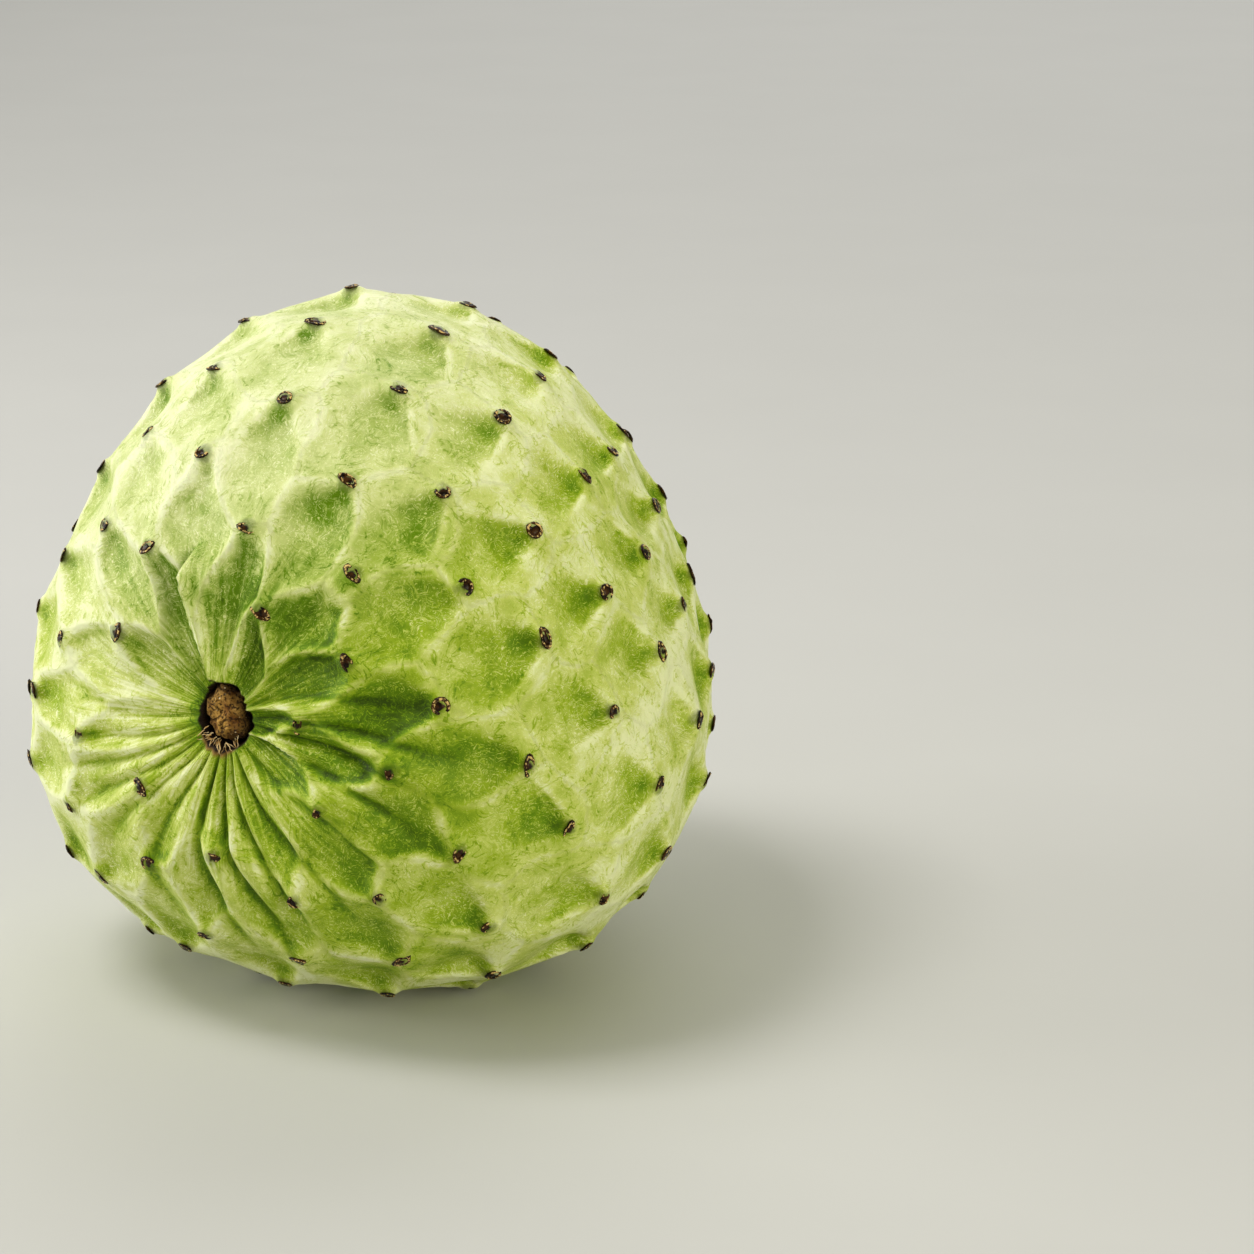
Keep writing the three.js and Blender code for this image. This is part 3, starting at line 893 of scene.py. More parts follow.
    def carpels(self, ways: np.ndarray, calm: np.ndarray) -> tuple[np.ndarray, dict[str, np.ndarray]]:
        """Works out the carpels' relief and the masks that go with it.

        Args:
            ways: unit directions from the middle, one a row.
            calm: share of the relief that is left at each.

        Returns:
            Height in millimetres, and the masks by name.
        """
        hollow, border = self.carpel.hollow, self.carpel.border
        spots = self.spots(ways)
        ridge, crease, brow = border.ridge(spots) * calm, border.crease(spots) * calm, border.brow(spots)
        raised, shadow, nearest = self.noses(ways)
        relief = raised - hollow.depth * hollow.dip(spots) * self.tip_sizes[spots.owner] * calm
        relief = relief + border.ridge_height * ridge - border.crease_depth * crease
        relief = relief + border.brow_height * brow
        vein = np.maximum(border.vein(spots) * calm, border.vein_on_ridge * ridge)
        return relief, {
            "hollow": hollow.tint(spots) * calm,
            "ridge": np.maximum(vein, border.vein_on_brow * brow),
            "crease": crease,
            "shadow": shadow,
            "gap": nearest,
            "flow": np.stack([spots.across, spots.along, spots.owner.astype(float)], -1),
        }

    def surface(self, ways: np.ndarray) -> tuple[np.ndarray, dict[str, np.ndarray]]:
        """Works out the skin.

        Args:
            ways: unit directions from the middle, one a row.

        Returns:
            Points in millimetres in the row frame, and the masks by name.
        """
        radius = self.body.radius
        phi, theta = self.stem.angles(ways)
        from_stem = radius * phi
        relief, masks = self.carpels(ways, self.calm.at(from_stem, theta))
        folds, valley_shade = self.folds.relief(from_stem, theta)
        lip, beside, crest = self.lip.relief(from_stem, theta, radius * np.sin(phi))
        from_rest = radius * np.arccos(np.clip(ways @ unit(self.lowest), -1, 1))
        relief = (relief + folds + lip) * smoothstep(self.smooth_underside, self.relief_returns, from_rest)
        rim = self.scar.rim(ways @ self.stem.rows.T * self.pole, theta, ways * radius)
        radii = self.body.radii(self.stem, ways) + relief - self.scar.cut(rim)
        points = ways * radii[:, None] + self.middle
        points[:, 2] = np.maximum(points[:, 2], 0)
        masks["ridge"] = np.maximum(masks["ridge"], crest)
        # painted shade in the fold valleys, the lip's groove and beside the lip
        masks["valley_shade"] = np.clip(valley_shade + beside, 0, 1)
        at = {"phi": phi, "theta": theta, "from_stem": from_stem, "rim": rim, "ways": ways, "points": points}
        return points, masks | self.light_and_marks.masks(at | {"hollow": masks["hollow"]})


def icosahedron() -> tuple[np.ndarray, list[tuple[int, int, int]]]:
    """Works out the icosahedron.

    Returns:
        Its corners, and its faces outward as corner numbers.
    """
    g = GOLDEN
    corners = np.array([
        [-1, g, 0], [1, g, 0], [-1, -g, 0], [1, -g, 0],
        [0, -1, g], [0, 1, g], [0, -1, -g], [0, 1, -g],
        [g, 0, -1], [g, 0, 1], [-g, 0, -1], [-g, 0, 1],
    ])  # fmt: skip
    longest = 2.001
    faces = []
    for a, b, c in combinations(range(len(corners)), 3):
        p, q, r = corners[a], corners[b], corners[c]
        if max(np.linalg.norm(p - q), np.linalg.norm(q - r), np.linalg.norm(r - p)) < longest:
            outward = np.dot(np.cross(q - p, r - p), p) > 0
            faces.append((a, b, c) if outward else (a, c, b))
    return corners, faces


def geodesic(frequency: int) -> tuple[np.ndarray, np.ndarray]:
    """Even triangulation of the unit ball.

    Args:
        frequency: how many parts each edge of the icosahedron is split in.

    Returns:
        Directions and triangles with their faces outward.
    """
    corners, faces = icosahedron()
    grid = [(i, j) for i in range(frequency + 1) for j in range(frequency + 1 - i)]
    number = {spot: n for n, spot in enumerate(grid)}
    weights = np.array([(frequency - i - j, i, j) for i, j in grid]) / frequency
    small = []
    for i, j in grid:
        if i + j < frequency:
            small.append((number[i, j], number[i + 1, j], number[i, j + 1]))
        if i + j < frequency - 1:
            small.append((number[i + 1, j], number[i + 1, j + 1], number[i, j + 1]))
    small = np.array(small)
    points = np.concatenate([unit(weights @ corners[list(face)]) for face in faces])
    triangles = np.concatenate([small + n * len(grid) for n in range(len(faces))])
    _, first, same = np.unique(np.round(points, 7), axis=0, return_index=True, return_inverse=True)
    return points[first], same.reshape(-1)[triangles]


# Finishes --------------------------------------------------------------------------------------


class Slot(Enum):
    """Material slots of the record."""

    RIND = "rind"
    CORK = "cork"
    TIP = "tip"


class Join(Enum):
    """Ways to join values to one."""

    SUM = "ADD"
    PRODUCT = "MULTIPLY"
    GREATER = "MAXIMUM"


@dataclass(frozen=True)
class Layer:
    """A mask stretched so that low gives bottom and high gives top, clamped."""

    mask: str
    low: float
    high: float
    top: float = 1.0
    bottom: float = 0.0

    def inputs(self, masks: Masks) -> dict[str, object]:
        """What the stretching node takes in."""
        ends = {"From Min": self.low, "From Max": self.high, "To Min": self.bottom, "To Max": self.top}
        return {"Value": masks[self.mask]} | ends


@dataclass(frozen=True)
class Blend:
    """A new mask joined from layers of others."""

    name: str
    join: Join
    layers: tuple[Layer, ...]


@dataclass(frozen=True)
class Coat:
    """A colour laid over those below it where its layer says; its second colour, if given, is its paler
    colour under the painted highlight.
    """

    colour: str
    layer: Layer
    highlit: str | None = None


@dataclass(frozen=True)
class Cloud:
    """Noise with blotches of a real size in millimetres."""

    name: str
    size: float
    detail: float = 3.0


@dataclass(frozen=True)
class Relief:
    """Bump of a finish: masks to shares of its height, the height in metres and the strength."""

    shares: tuple[tuple[str, float], ...]
    height: float
    strength: float


@dataclass(frozen=True)
class Finish:
    """What every finish is built from: constants, masks, blends of them, and coats over a ground colour."""

    name: str
    ground: str
    settings: dict[str, object] = field(default_factory=dict)
    # paler ground colour under the painted highlight
    highlit: str | None = None
    marks: tuple[str, ...] = ()
    clouds: tuple[Cloud, ...] = ()
    speck_spacing: float | None = None
    blends: tuple[Blend, ...] = ()
    coats: tuple[Coat, ...] = ()
    roughness: tuple[Layer, ...] = ()
    relief: Relief | None = None
    cloud_roughness: float = 0.55

    def masks(self, tree: bpy.types.NodeTree) -> Masks:
        """Adds the nodes that tell one part of the surface from another.

        Args:
            tree: the material's node tree.

        Returns:
            Sockets by name: marks stored on the mesh, clouds and specks.
        """
        masks = {m: node(tree, "ShaderNodeAttribute", attribute_name=m).outputs["Fac"] for m in self.marks}
        place = node(tree, "ShaderNodeTexCoord").outputs["Object"]
        place = node(tree, "ShaderNodeVectorMath", {0: place, "Scale": 1 / MM}, operation="SCALE").outputs[0]
        masks["place"] = place
        for cloud in self.clouds:
            inputs = {"Scale": 1 / cloud.size, "Detail": cloud.detail, "Roughness": self.cloud_roughness}
            masks[cloud.name] = node(tree, "ShaderNodeTexNoise", {"Vector": place} | inputs).outputs[0]
        if self.speck_spacing:
            cells = node(tree, "ShaderNodeTexVoronoi", {"Vector": place, "Scale": 1 / self.speck_spacing})
            masks["from speck"] = cells.outputs["Distance"]
            masks["lot"] = node(tree, "ShaderNodeSeparateColor", {0: cells.outputs["Color"]}).outputs[0]
        return masks

    def joined(self, tree: bpy.types.NodeTree, join: Join, layers: tuple[Layer, ...], masks: Masks) -> Socket:
        """Joins layers to one value.

        Args:
            tree: the material's node tree.
            join: how they are joined.
            layers: the layers, at least one.
            masks: the masks that the layers stretch.

        Returns:
            The socket of the value.
        """
        total = None
        for layer in layers:
            value = node(tree, "ShaderNodeMapRange", layer.inputs(masks)).outputs[0]
            if total is not None:
                value = node(tree, "ShaderNodeMath", {0: total, 1: value}, operation=join.value).outputs[0]
            total = value
        return total

    def painted(self, tree: bpy.types.NodeTree, masks: Masks) -> Socket | Colour:
        """Lays the coats over the ground.

        Args:
            tree: the material's node tree.
            masks: the masks that the coats follow.

        Returns:
            The colour, or the socket of it.
        """
        colours = []
        for colour, highlit in ((self.ground, self.highlit), *((c.colour, c.highlit) for c in self.coats)):
            shade = linear(colour)
            # each colour turns to its paler one under the painted highlight
            if highlit:
                inputs = {0: masks["painted_highlight"], 6: shade, 7: linear(highlit)}
                shade = node(tree, "ShaderNodeMix", inputs, data_type="RGBA").outputs[2]
            colours.append(shade)
        below = colours[0]
        for coat, shade in zip(self.coats, colours[1:]):
            share = node(tree, "ShaderNodeMapRange", coat.layer.inputs(masks)).outputs[0]
            below = node(tree, "ShaderNodeMix", {0: share, 6: below, 7: shade}, data_type="RGBA").outputs[2]
        return below

    def bumped(self, tree: bpy.types.NodeTree, masks: Masks) -> Socket:
        """Adds the bump.

        Args:
            tree: the material's node tree.
            masks: the masks that the relief is summed from.

        Returns:
            The socket of the bent normal.
        """
        height = None
        for name, share in self.relief.shares:
            part = node(tree, "ShaderNodeMath", {0: masks[name], 1: share}, operation="MULTIPLY").outputs[0]
            if height is not None:
                part = node(tree, "ShaderNodeMath", {0: height, 1: part}, operation="ADD").outputs[0]
            height = part
        inputs = {"Height": height, "Distance": self.relief.height, "Strength": self.relief.strength}
        return node(tree, "ShaderNodeBump", inputs).outputs[0]

    def make(self) -> bpy.types.Material:
        """Builds the material.

        Returns:
            The material, with one Principled shader.
        """
        material = bpy.data.materials.new(self.name)
        material.use_nodes = True
        tree = material.node_tree
        tree.nodes.clear()
        masks = self.masks(tree)
        for blend in self.blends:
            masks[blend.name] = self.joined(tree, blend.join, blend.layers, masks)
        inputs = self.settings | {"Base Color": self.painted(tree, masks)}
        if self.roughness:
            inputs["Roughness"] = self.joined(tree, Join.SUM, self.roughness, masks)
        if self.relief:
            inputs["Normal"] = self.bumped(tree, masks)
        shader = node(tree, "ShaderNodeBsdfPrincipled", inputs)
        node(tree, "ShaderNodeOutputMaterial", {"Surface": shader.outputs[0]})
        return material


@dataclass(frozen=True)
class FruitRind(Finish):
    """Living fruit skin: a thin natural wax gives a soft satin sheen, and fine down pales the hollows; its
    colour also carries a painted highlight and painted shade.
    """

    name: str = "waxy fruit rind"
    ground: str = "E1E6B4"
    # paler ground under the painted highlight
    highlit: str = "E6EABF"
    settings: dict[str, object] = field(
        default_factory=lambda: {
            "IOR": 1.4,
            "Specular IOR Level": 0.18,
            "Subsurface Weight": 0.08,
            "Subsurface Scale": 0.003,
            "Subsurface Radius": (0.6, 1.0, 0.25),
        }
    )
    marks: tuple[str, ...] = (
        "hollow", "ridge", "crease", "valley_shade", "gap", "scar", "shade", "dimple_shade", "shadow", "painted_highlight", "frayed",
    )  # fmt: skip
    clouds: tuple[Cloud, ...] = (
        Cloud("broad", 20.0),
        Cloud("mottle", 5.0, 5.0),
        Cloud("lumps", 2.6),
        Cloud("pores", 0.7, 4.0),
    )
    speck_spacing: float = 1 / 0.42
    blends: tuple[Blend, ...] = (
        Blend("striped", Join.PRODUCT, (Layer("streaks", 0.6, 0.4, 0.34), Layer("stemward", 0, 1))),
        Blend("dots", Join.PRODUCT, (Layer("from speck", 0.14, 0.08, 0.2), Layer("lot", 0.6, 0.65))),
        Blend("lines", Join.PRODUCT, (
            Layer("curls", 0.38, 0.47, 0.48),
            Layer("lumps", 0.4, 0.56),
            Layer("hollow", 0.5, 0.1, 0.65),
        )),
        Blend("curly down", Join.PRODUCT, (Layer("curls", 0.1, 0.03, 0.6), Layer("lumps", 0.4, 0.56))),
        Blend("down", Join.GREATER, (Layer("hairs", 0.58, 0.68), Layer("curly down", 0, 1))),
        Blend("downy", Join.PRODUCT, (Layer("down", 0, 1), Layer("hollow", 0, 0.5, 0.52, 0.16))),
        # Lit: paler ridges, veins and lip crest, partly the skin's own pale border lines, partly painted
        # highlight.
        Blend("lit", Join.PRODUCT, (Layer("stemward", 1, 0, 0.57, 0.42), Layer("ridge", 0.1, 0.9))),
        # Tone runs from pale to deep green. Its layers for shade, the dimple, valleys, creases and the beak's
        # shadow are painted shade, the hollow layer partly so, and the lit layer is partly painted highlight;
        # the rest is the skin's own tone.
        Blend("tone", Join.SUM, (
            Layer("broad", 0.32, 0.68, 0.13, -0.07),
            Layer("mottle", 0.4, 0.62, 0.22),
            Layer("hollow", 0, 1, 0.7),
            Layer("shade", 0, 1, 0.62),
            Layer("lines", 0, 1),
            Layer("striped", 0, 1),
            Layer("dimple_shade", 0, 1, 0.72),
            Layer("valley_shade", 0.05, 0.7, 0.55),
            Layer("crease", 0.1, 0.9, 0.5),
            Layer("shadow", 0.1, 1, 0.28),
            Layer("dots", 0, 1),
            Layer("lit", 0, 1, -1),
            Layer("downy", 0, 1, -1),
            Layer("stemward", 0, 1, -0.14),
        )),
        Blend("near tip", Join.SUM, (Layer("gap", 0, 24, 24), Layer("lumps", 0.35, 0.65, 0.9))),
    )  # fmt: skip
    coats: tuple[Coat, ...] = (
        # The second colour of the first two coats is their paler one under the painted highlight.
        Coat("C1CB6A", Layer("tone", 0, 0.3), "CED696"),
        Coat("93AA20", Layer("tone", 0.3, 0.6), "A7B766"),
        Coat("5E8202", Layer("tone", 0.6, 0.9)),
        Coat("344A03", Layer("tone", 0.9, 1.4)),
        # deep green close round each tip, partly the skin's own colour, partly painted shade at the tip's
        # foot
        Coat("344A03", Layer("near tip", 2, 1.2, 0.55)),
        Coat("1F130A", Layer("gap", 0.65, 0.4)),
        Coat("8A6A36", Layer("frayed", 0.3, 0.7)),
        Coat("1F130A", Layer("scar", 0.5, 0.75)),
    )
    roughness: tuple[Layer, ...] = (Layer("mottle", 0.3, 0.7, 0.48, 0.36), Layer("hollow", 0, 1, 0.15))
    relief: Relief = Relief(
        (("pores", 0.25), ("lumps", 1.0), ("striped", 1.4), ("hairs", 0.5), ("curls", 0.8)), 0.00018, 0.8
    )
    curl_size: float = 5.0
    curl_roughness: float = 0.6
    curl_bend: float = 1.5
    curl_lines: float = 5.2
    hair_warp_size: float = 1 / 0.3
    hair_warp: float = 6.0
    hair_leans: tuple[float, float] = (-0.5, 0.35)
    hair_shape: tuple[float, float, float] = (2.6, 0.5, 9.0)
    streaks_around: float = 30.0
    stripes_end: float = 40.0
    stripes_full: float = 14.0

    def masks(self, tree: bpy.types.NodeTree) -> Masks:
        """Adds curly lines and hairs, both drawn coarser than life so that they show, and streaks.

        Args:
            tree: the material's node tree.

        Returns:
            The masks that every finish has, and curls, hairs, streaks and stemward. Curls is 0 on one set of
            curly lines some two millimetres apart and 0.5 on the set between them.
        """
        masks = super().masks(tree)
        place, hairs = masks["place"], []
        inputs = {"Vector": place, "Scale": 1 / self.curl_size, "Detail": 3.0}
        inputs |= {"Roughness": self.curl_roughness, "Distortion": self.curl_bend}
        hills = node(tree, "ShaderNodeTexNoise", inputs).outputs[0]
        hills = node(tree, "ShaderNodeMath", {0: hills, 1: self.curl_lines}, operation="MULTIPLY").outputs[0]
        masks["curls"] = node(tree, "ShaderNodeMath", {0: hills, 1: 0.5}, operation="PINGPONG").outputs[0]
        flow = node(tree, "ShaderNodeAttribute", attribute_name="flow").outputs["Vector"]
        inputs = {"Vector": place, "Scale": 1 / self.hair_warp_size, "Detail": 2.0}
        warp = node(tree, "ShaderNodeTexNoise", inputs).outputs[1]
        inputs = {0: warp, "Scale": self.hair_warp}
        warp = node(tree, "ShaderNodeVectorMath", inputs, operation="SCALE").outputs[0]
        bent = node(tree, "ShaderNodeVectorMath", {0: flow, 1: warp}, operation="ADD").outputs[0]
        for lean in self.hair_leans:
            inputs = {"Vector": bent, "Rotation": (0, 0, lean), "Scale": self.hair_shape}
            along = node(tree, "ShaderNodeMapping", inputs).outputs[0]
            inputs = {"Vector": along, "Scale": 1.0, "Detail": 2.0}
            hairs.append(node(tree, "ShaderNodeTexNoise", inputs).outputs[0])
        masks["hairs"] = node(tree, "ShaderNodeMath", dict(enumerate(hairs)), operation="MAXIMUM").outputs[0]
        swirl = node(tree, "ShaderNodeAttribute", attribute_name="swirl").outputs["Vector"]
        inputs = {"Vector": swirl, "Scale": self.streaks_around, "Detail": 4.0}
        masks["streaks"] = node(tree, "ShaderNodeTexNoise", inputs).outputs[0]
        masks["from stem"] = node(tree, "ShaderNodeSeparateXYZ", {0: swirl}).outputs[2]
        ends = Layer("from stem", self.stripes_end * SWIRL_PITCH, self.stripes_full * SWIRL_PITCH)
        masks["stemward"] = node(tree, "ShaderNodeMapRange", ends.inputs(masks)).outputs[0]
        return masks


@dataclass(frozen=True)
class DriedStyle(Finish):
    """Dried style tissue: nearly black brown, hard and shiny, with golden flecks, partly wear and partly a
    painted highlight on the outer top of each ring.
    """

    name: str = "dried style"
    ground: str = "120802"
    settings: dict[str, object] = field(default_factory=lambda: {"IOR": 1.5, "Specular IOR Level": 0.14})
    marks: tuple[str, ...] = ("rim",)
    clouds: tuple[Cloud, ...] = (Cloud("patch", 1.1, 4.0), Cloud("fleck", 0.45))
    blends: tuple[Blend, ...] = (
        # Golden flecks: noise for wear, plus a painted highlight on the ring's outer top.
        Blend("wear_and_highlight", Join.SUM, (Layer("rim", 0.1, 0.9, 0.2), Layer("fleck", 0, 1))),
    )
    coats: tuple[Coat, ...] = (
        Coat("44280B", Layer("patch", 0.42, 0.62, 0.8)),
        Coat("E2C078", Layer("wear_and_highlight", 0.7, 0.8, 0.85)),
    )
    roughness: tuple[Layer, ...] = (Layer("fleck", 0.3, 0.7, 0.32, 0.12),)
    relief: Relief = Relief((("fleck", 1.0),), 0.0001, 0.6)


@dataclass(frozen=True)
class StalkCork(Finish):
    """Dry cork of a healed stalk: dull, cracked and grainy, with painted shade on its sides where it sits
    deep in the scar.
    """

    name: str = "stalk cork"
    ground: str = "7A4E1A"
    settings: dict[str, object] = field(
        default_factory=lambda: {"IOR": 1.4, "Specular IOR Level": 0.25, "Roughness": 0.8}
    )
    marks: tuple[str, ...] = ("side", "crack")
    clouds: tuple[Cloud, ...] = (Cloud("clumps", 2.4, 5.0), Cloud("grain", 0.42, 6.0))
    speck_spacing: float = 1 / 1.3
    blends: tuple[Blend, ...] = (
        Blend("specks", Join.PRODUCT, (Layer("from speck", 0.2, 0.12), Layer("lot", 0.62, 0.66))),
    )
    coats: tuple[Coat, ...] = (
        Coat("C89A4C", Layer("clumps", 0.38, 0.6)),
        Coat("201003", Layer("grain", 0.52, 0.38, 0.9)),
        # painted shade on the stub's sides, deep in the scar
        Coat("201003", Layer("side", 0.45, 1, 0.9)),
        Coat("201003", Layer("crack", 0.1, 0.8, 0.8)),
        Coat("DCC9A0", Layer("specks", 0, 1)),
    )
    relief: Relief = Relief((("grain", 0.9), ("clumps", 1.0)), 0.0008, 0.9)


@dataclass(frozen=True)
class DryFibre(Finish):
    """Torn stalk fibre: dry, pale and dull."""

    name: str = "dry stalk fibre"
    ground: str = "F0DAA8"
    settings: dict[str, object] = field(default_factory=lambda: {"IOR": 1.4, "Roughness": 0.7})
    clouds: tuple[Cloud, ...] = (Cloud("bands", 0.9),)
    coats: tuple[Coat, ...] = (Coat("B08748", Layer("bands", 0.4, 0.6)),)


@dataclass(frozen=True)
class StudioPaper(Finish):
    """Matt pale seamless paper under the fruit."""

    name: str = "studio paper"
    ground: str = "BDBDBB"
    settings: dict[str, object] = field(default_factory=lambda: {"Roughness": 0.9})
    clouds: tuple[Cloud, ...] = (Cloud("mottle", 60.0),)
    coats: tuple[Coat, ...] = (Coat("C1C1BF", Layer("mottle", 0, 1)),)


# Pieces ----------------------------------------------------------------------------------------


def mesh_object(
    name: str, points: np.ndarray, triangles: np.ndarray, marks: dict[str, np.ndarray] | None = None
) -> bpy.types.Object:
    """Makes a smooth-shaded mesh object from points in millimetres.

    Args:
        name: the object's name.
        points: rows of x, y, z.
        triangles: rows of point numbers, three or more to a face, or none for bare points.
        marks: point attributes to store: one value or one vector for each point.

    Returns:
        The object, linked to the scene.
    """
    mesh = bpy.data.meshes.new(name)
    mesh.from_pydata((points * MM).tolist(), [], triangles.tolist())
    for label, values in (marks or {}).items():
        kind, key = ("FLOAT", "value") if values.ndim == 1 else ("FLOAT_VECTOR", "vector")
        attribute = mesh.attributes.new(label, kind, "POINT")
        attribute.data.foreach_set(key, values.astype(np.float32).ravel())
    mesh.polygons.foreach_set("use_smooth", np.ones(len(mesh.polygons), dtype=bool))
    mesh.update()
    made = bpy.data.objects.new(name, mesh)
    bpy.context.scene.collection.objects.link(made)
    return made


def eulers(sides: np.ndarray, outs: np.ndarray) -> np.ndarray:
    """Turns that lay local X along each side and local Z along each outward direction.

    Args:
        sides: rows of directions, made square to the outward ones.
        outs: rows of unit directions.

    Returns:
        Rows of XYZ Euler angles.
    """
    turns = []
    for side, out in zip(sides, outs):
        z = Vector(out)
        x = (Vector(side) - z * z.dot(Vector(side))).normalized()
        turns.append(Matrix((x, z.cross(x), z)).transposed().to_euler("XYZ")[:])
    return np.array(turns)


def grown(seedbed: bpy.types.Object, tree: bpy.types.NodeTree, values: dict[str, object]) -> bpy.types.Object:
    """Runs a Geometry Nodes tree on an object and keeps the result as a plain mesh.

    Args:
        seedbed: the object the tree starts from, removed afterwards.
        tree: the node tree.
        values: the tree's named inputs.

    Returns:
        A new object at the origin with the finished mesh.
    """
    modifier = seedbed.modifiers.new(tree.name, "NODES")
    modifier.node_group = tree
    for item in tree.interface.items_tree:
        if item.item_type == "SOCKET" and item.in_out == "INPUT" and item.name in values:
            modifier[item.identifier] = values[item.name]
    graph = bpy.context.evaluated_depsgraph_get()
    graph.update()
    mesh = bpy.data.meshes.new_from_object(seedbed.evaluated_get(graph))
    made = bpy.data.objects.new(seedbed.name, mesh)
    name = seedbed.name
    seedbed.modifiers.remove(modifier)
    bpy.data.objects.remove(seedbed)
    made.name = name
    bpy.context.scene.collection.objects.link(made)
    return made


def sockets(tree: bpy.types.NodeTree, wanted: dict[str, str]) -> Masks:
    """Gives a Geometry Nodes tree its geometry sockets and named inputs.

    Args:
        tree: the node tree.
        wanted: input name to the last part of its socket type, such as Float.

    Returns:
        Input name to the socket that carries it inside the tree.
    """
    tree.interface.new_socket("Geometry", in_out="INPUT", socket_type="NodeSocketGeometry")
    for name, kind in wanted.items():
        tree.interface.new_socket(name, in_out="INPUT", socket_type="NodeSocket" + kind)
    tree.interface.new_socket("Geometry", in_out="OUTPUT", socket_type="NodeSocketGeometry")
    inside = node(tree, "NodeGroupInput")
    return {socket.name: socket for socket in inside.outputs if socket.name}


@dataclass(frozen=True)
class Scatter:
    """Copies of a shape on points, one size each, roughened by noise."""

    smallest: float
    largest: float
    noise_scale: float
    noise_detail: float

    def finish(
        self,
        tree: bpy.types.NodeTree,
        given: Masks,
        picks: dict[str, object],
        push: Socket,
    ) -> None:
        """Adds the nodes that place, realise, roughen and dress the copies.

        Args:
            tree: the node tree, whose points carry the attribute "turn".
            given: the tree's inputs, with Geometry, Seed and Material among them.
            picks: what the placing node takes in for the shape.
            push: how far the noise moves each point.
        """
        turn = node(tree, "GeometryNodeInputNamedAttribute", {"Name": "turn"}, data_type="FLOAT_VECTOR")
        turned = node(tree, "FunctionNodeEulerToRotation", {0: turn.outputs[0]})
        inputs = {2: self.smallest, 3: self.largest, "Seed": given["Seed"]}
        size = node(tree, "FunctionNodeRandomValue", inputs, data_type="FLOAT")
        inputs = {"Points": given["Geometry"], "Rotation": turned.outputs[0], "Scale": size.outputs[1]}
        placed = node(tree, "GeometryNodeInstanceOnPoints", inputs | picks)
        real = node(tree, "GeometryNodeRealizeInstances", {0: placed.outputs[0]})
        spot = node(tree, "GeometryNodeInputPosition")
        inputs = {"Vector": spot.outputs[0], "Scale": self.noise_scale, "Detail": self.noise_detail}
        waves = node(tree, "ShaderNodeTexNoise", inputs)
        inputs = {0: waves.outputs[1], 1: (0.5, 0.5, 0.5)}
        centred = node(tree, "ShaderNodeVectorMath", inputs, operation="SUBTRACT")
        shift = node(tree, "ShaderNodeVectorMath", {0: centred.outputs[0], "Scale": push}, operation="SCALE")
        inputs = {"Geometry": real.outputs[0], "Offset": shift.outputs[0]}
        rough = node(tree, "GeometryNodeSetPosition", inputs)
        smooth = node(tree, "GeometryNodeSetShadeSmooth", {0: rough.outputs[0]})
        dressed = node(tree, "GeometryNodeSetMaterial", {0: smooth.outputs[0], "Material": given["Material"]})
        node(tree, "NodeGroupOutput", {0: dressed.outputs[0]})


@dataclass
class Rind:
    """The fruit's rind, one closed mesh that takes the place of the plain solid."""

    skin: Skin
    frequency: int = 99
    crowding: float = 0.62
    crowded_to: float = 0.5

    def build(self) -> bpy.types.Object:
        """Builds the rind, with its points crowded towards the stem.

        Returns:
            The dressed rind.
        """
        ways, triangles = geodesic(self.frequency)
        phi, theta = self.skin.stem.angles(ways)
        phi = phi * (1 - self.crowding * bell(phi / self.crowded_to))
        points, masks = self.skin.surface(self.skin.stem.ways(phi, theta))
        rind = mesh_object("rind", points, triangles, masks)
        rind.data.materials.append(FruitRind().make())
        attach(rind, "root")
        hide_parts("fruit")
        return rind


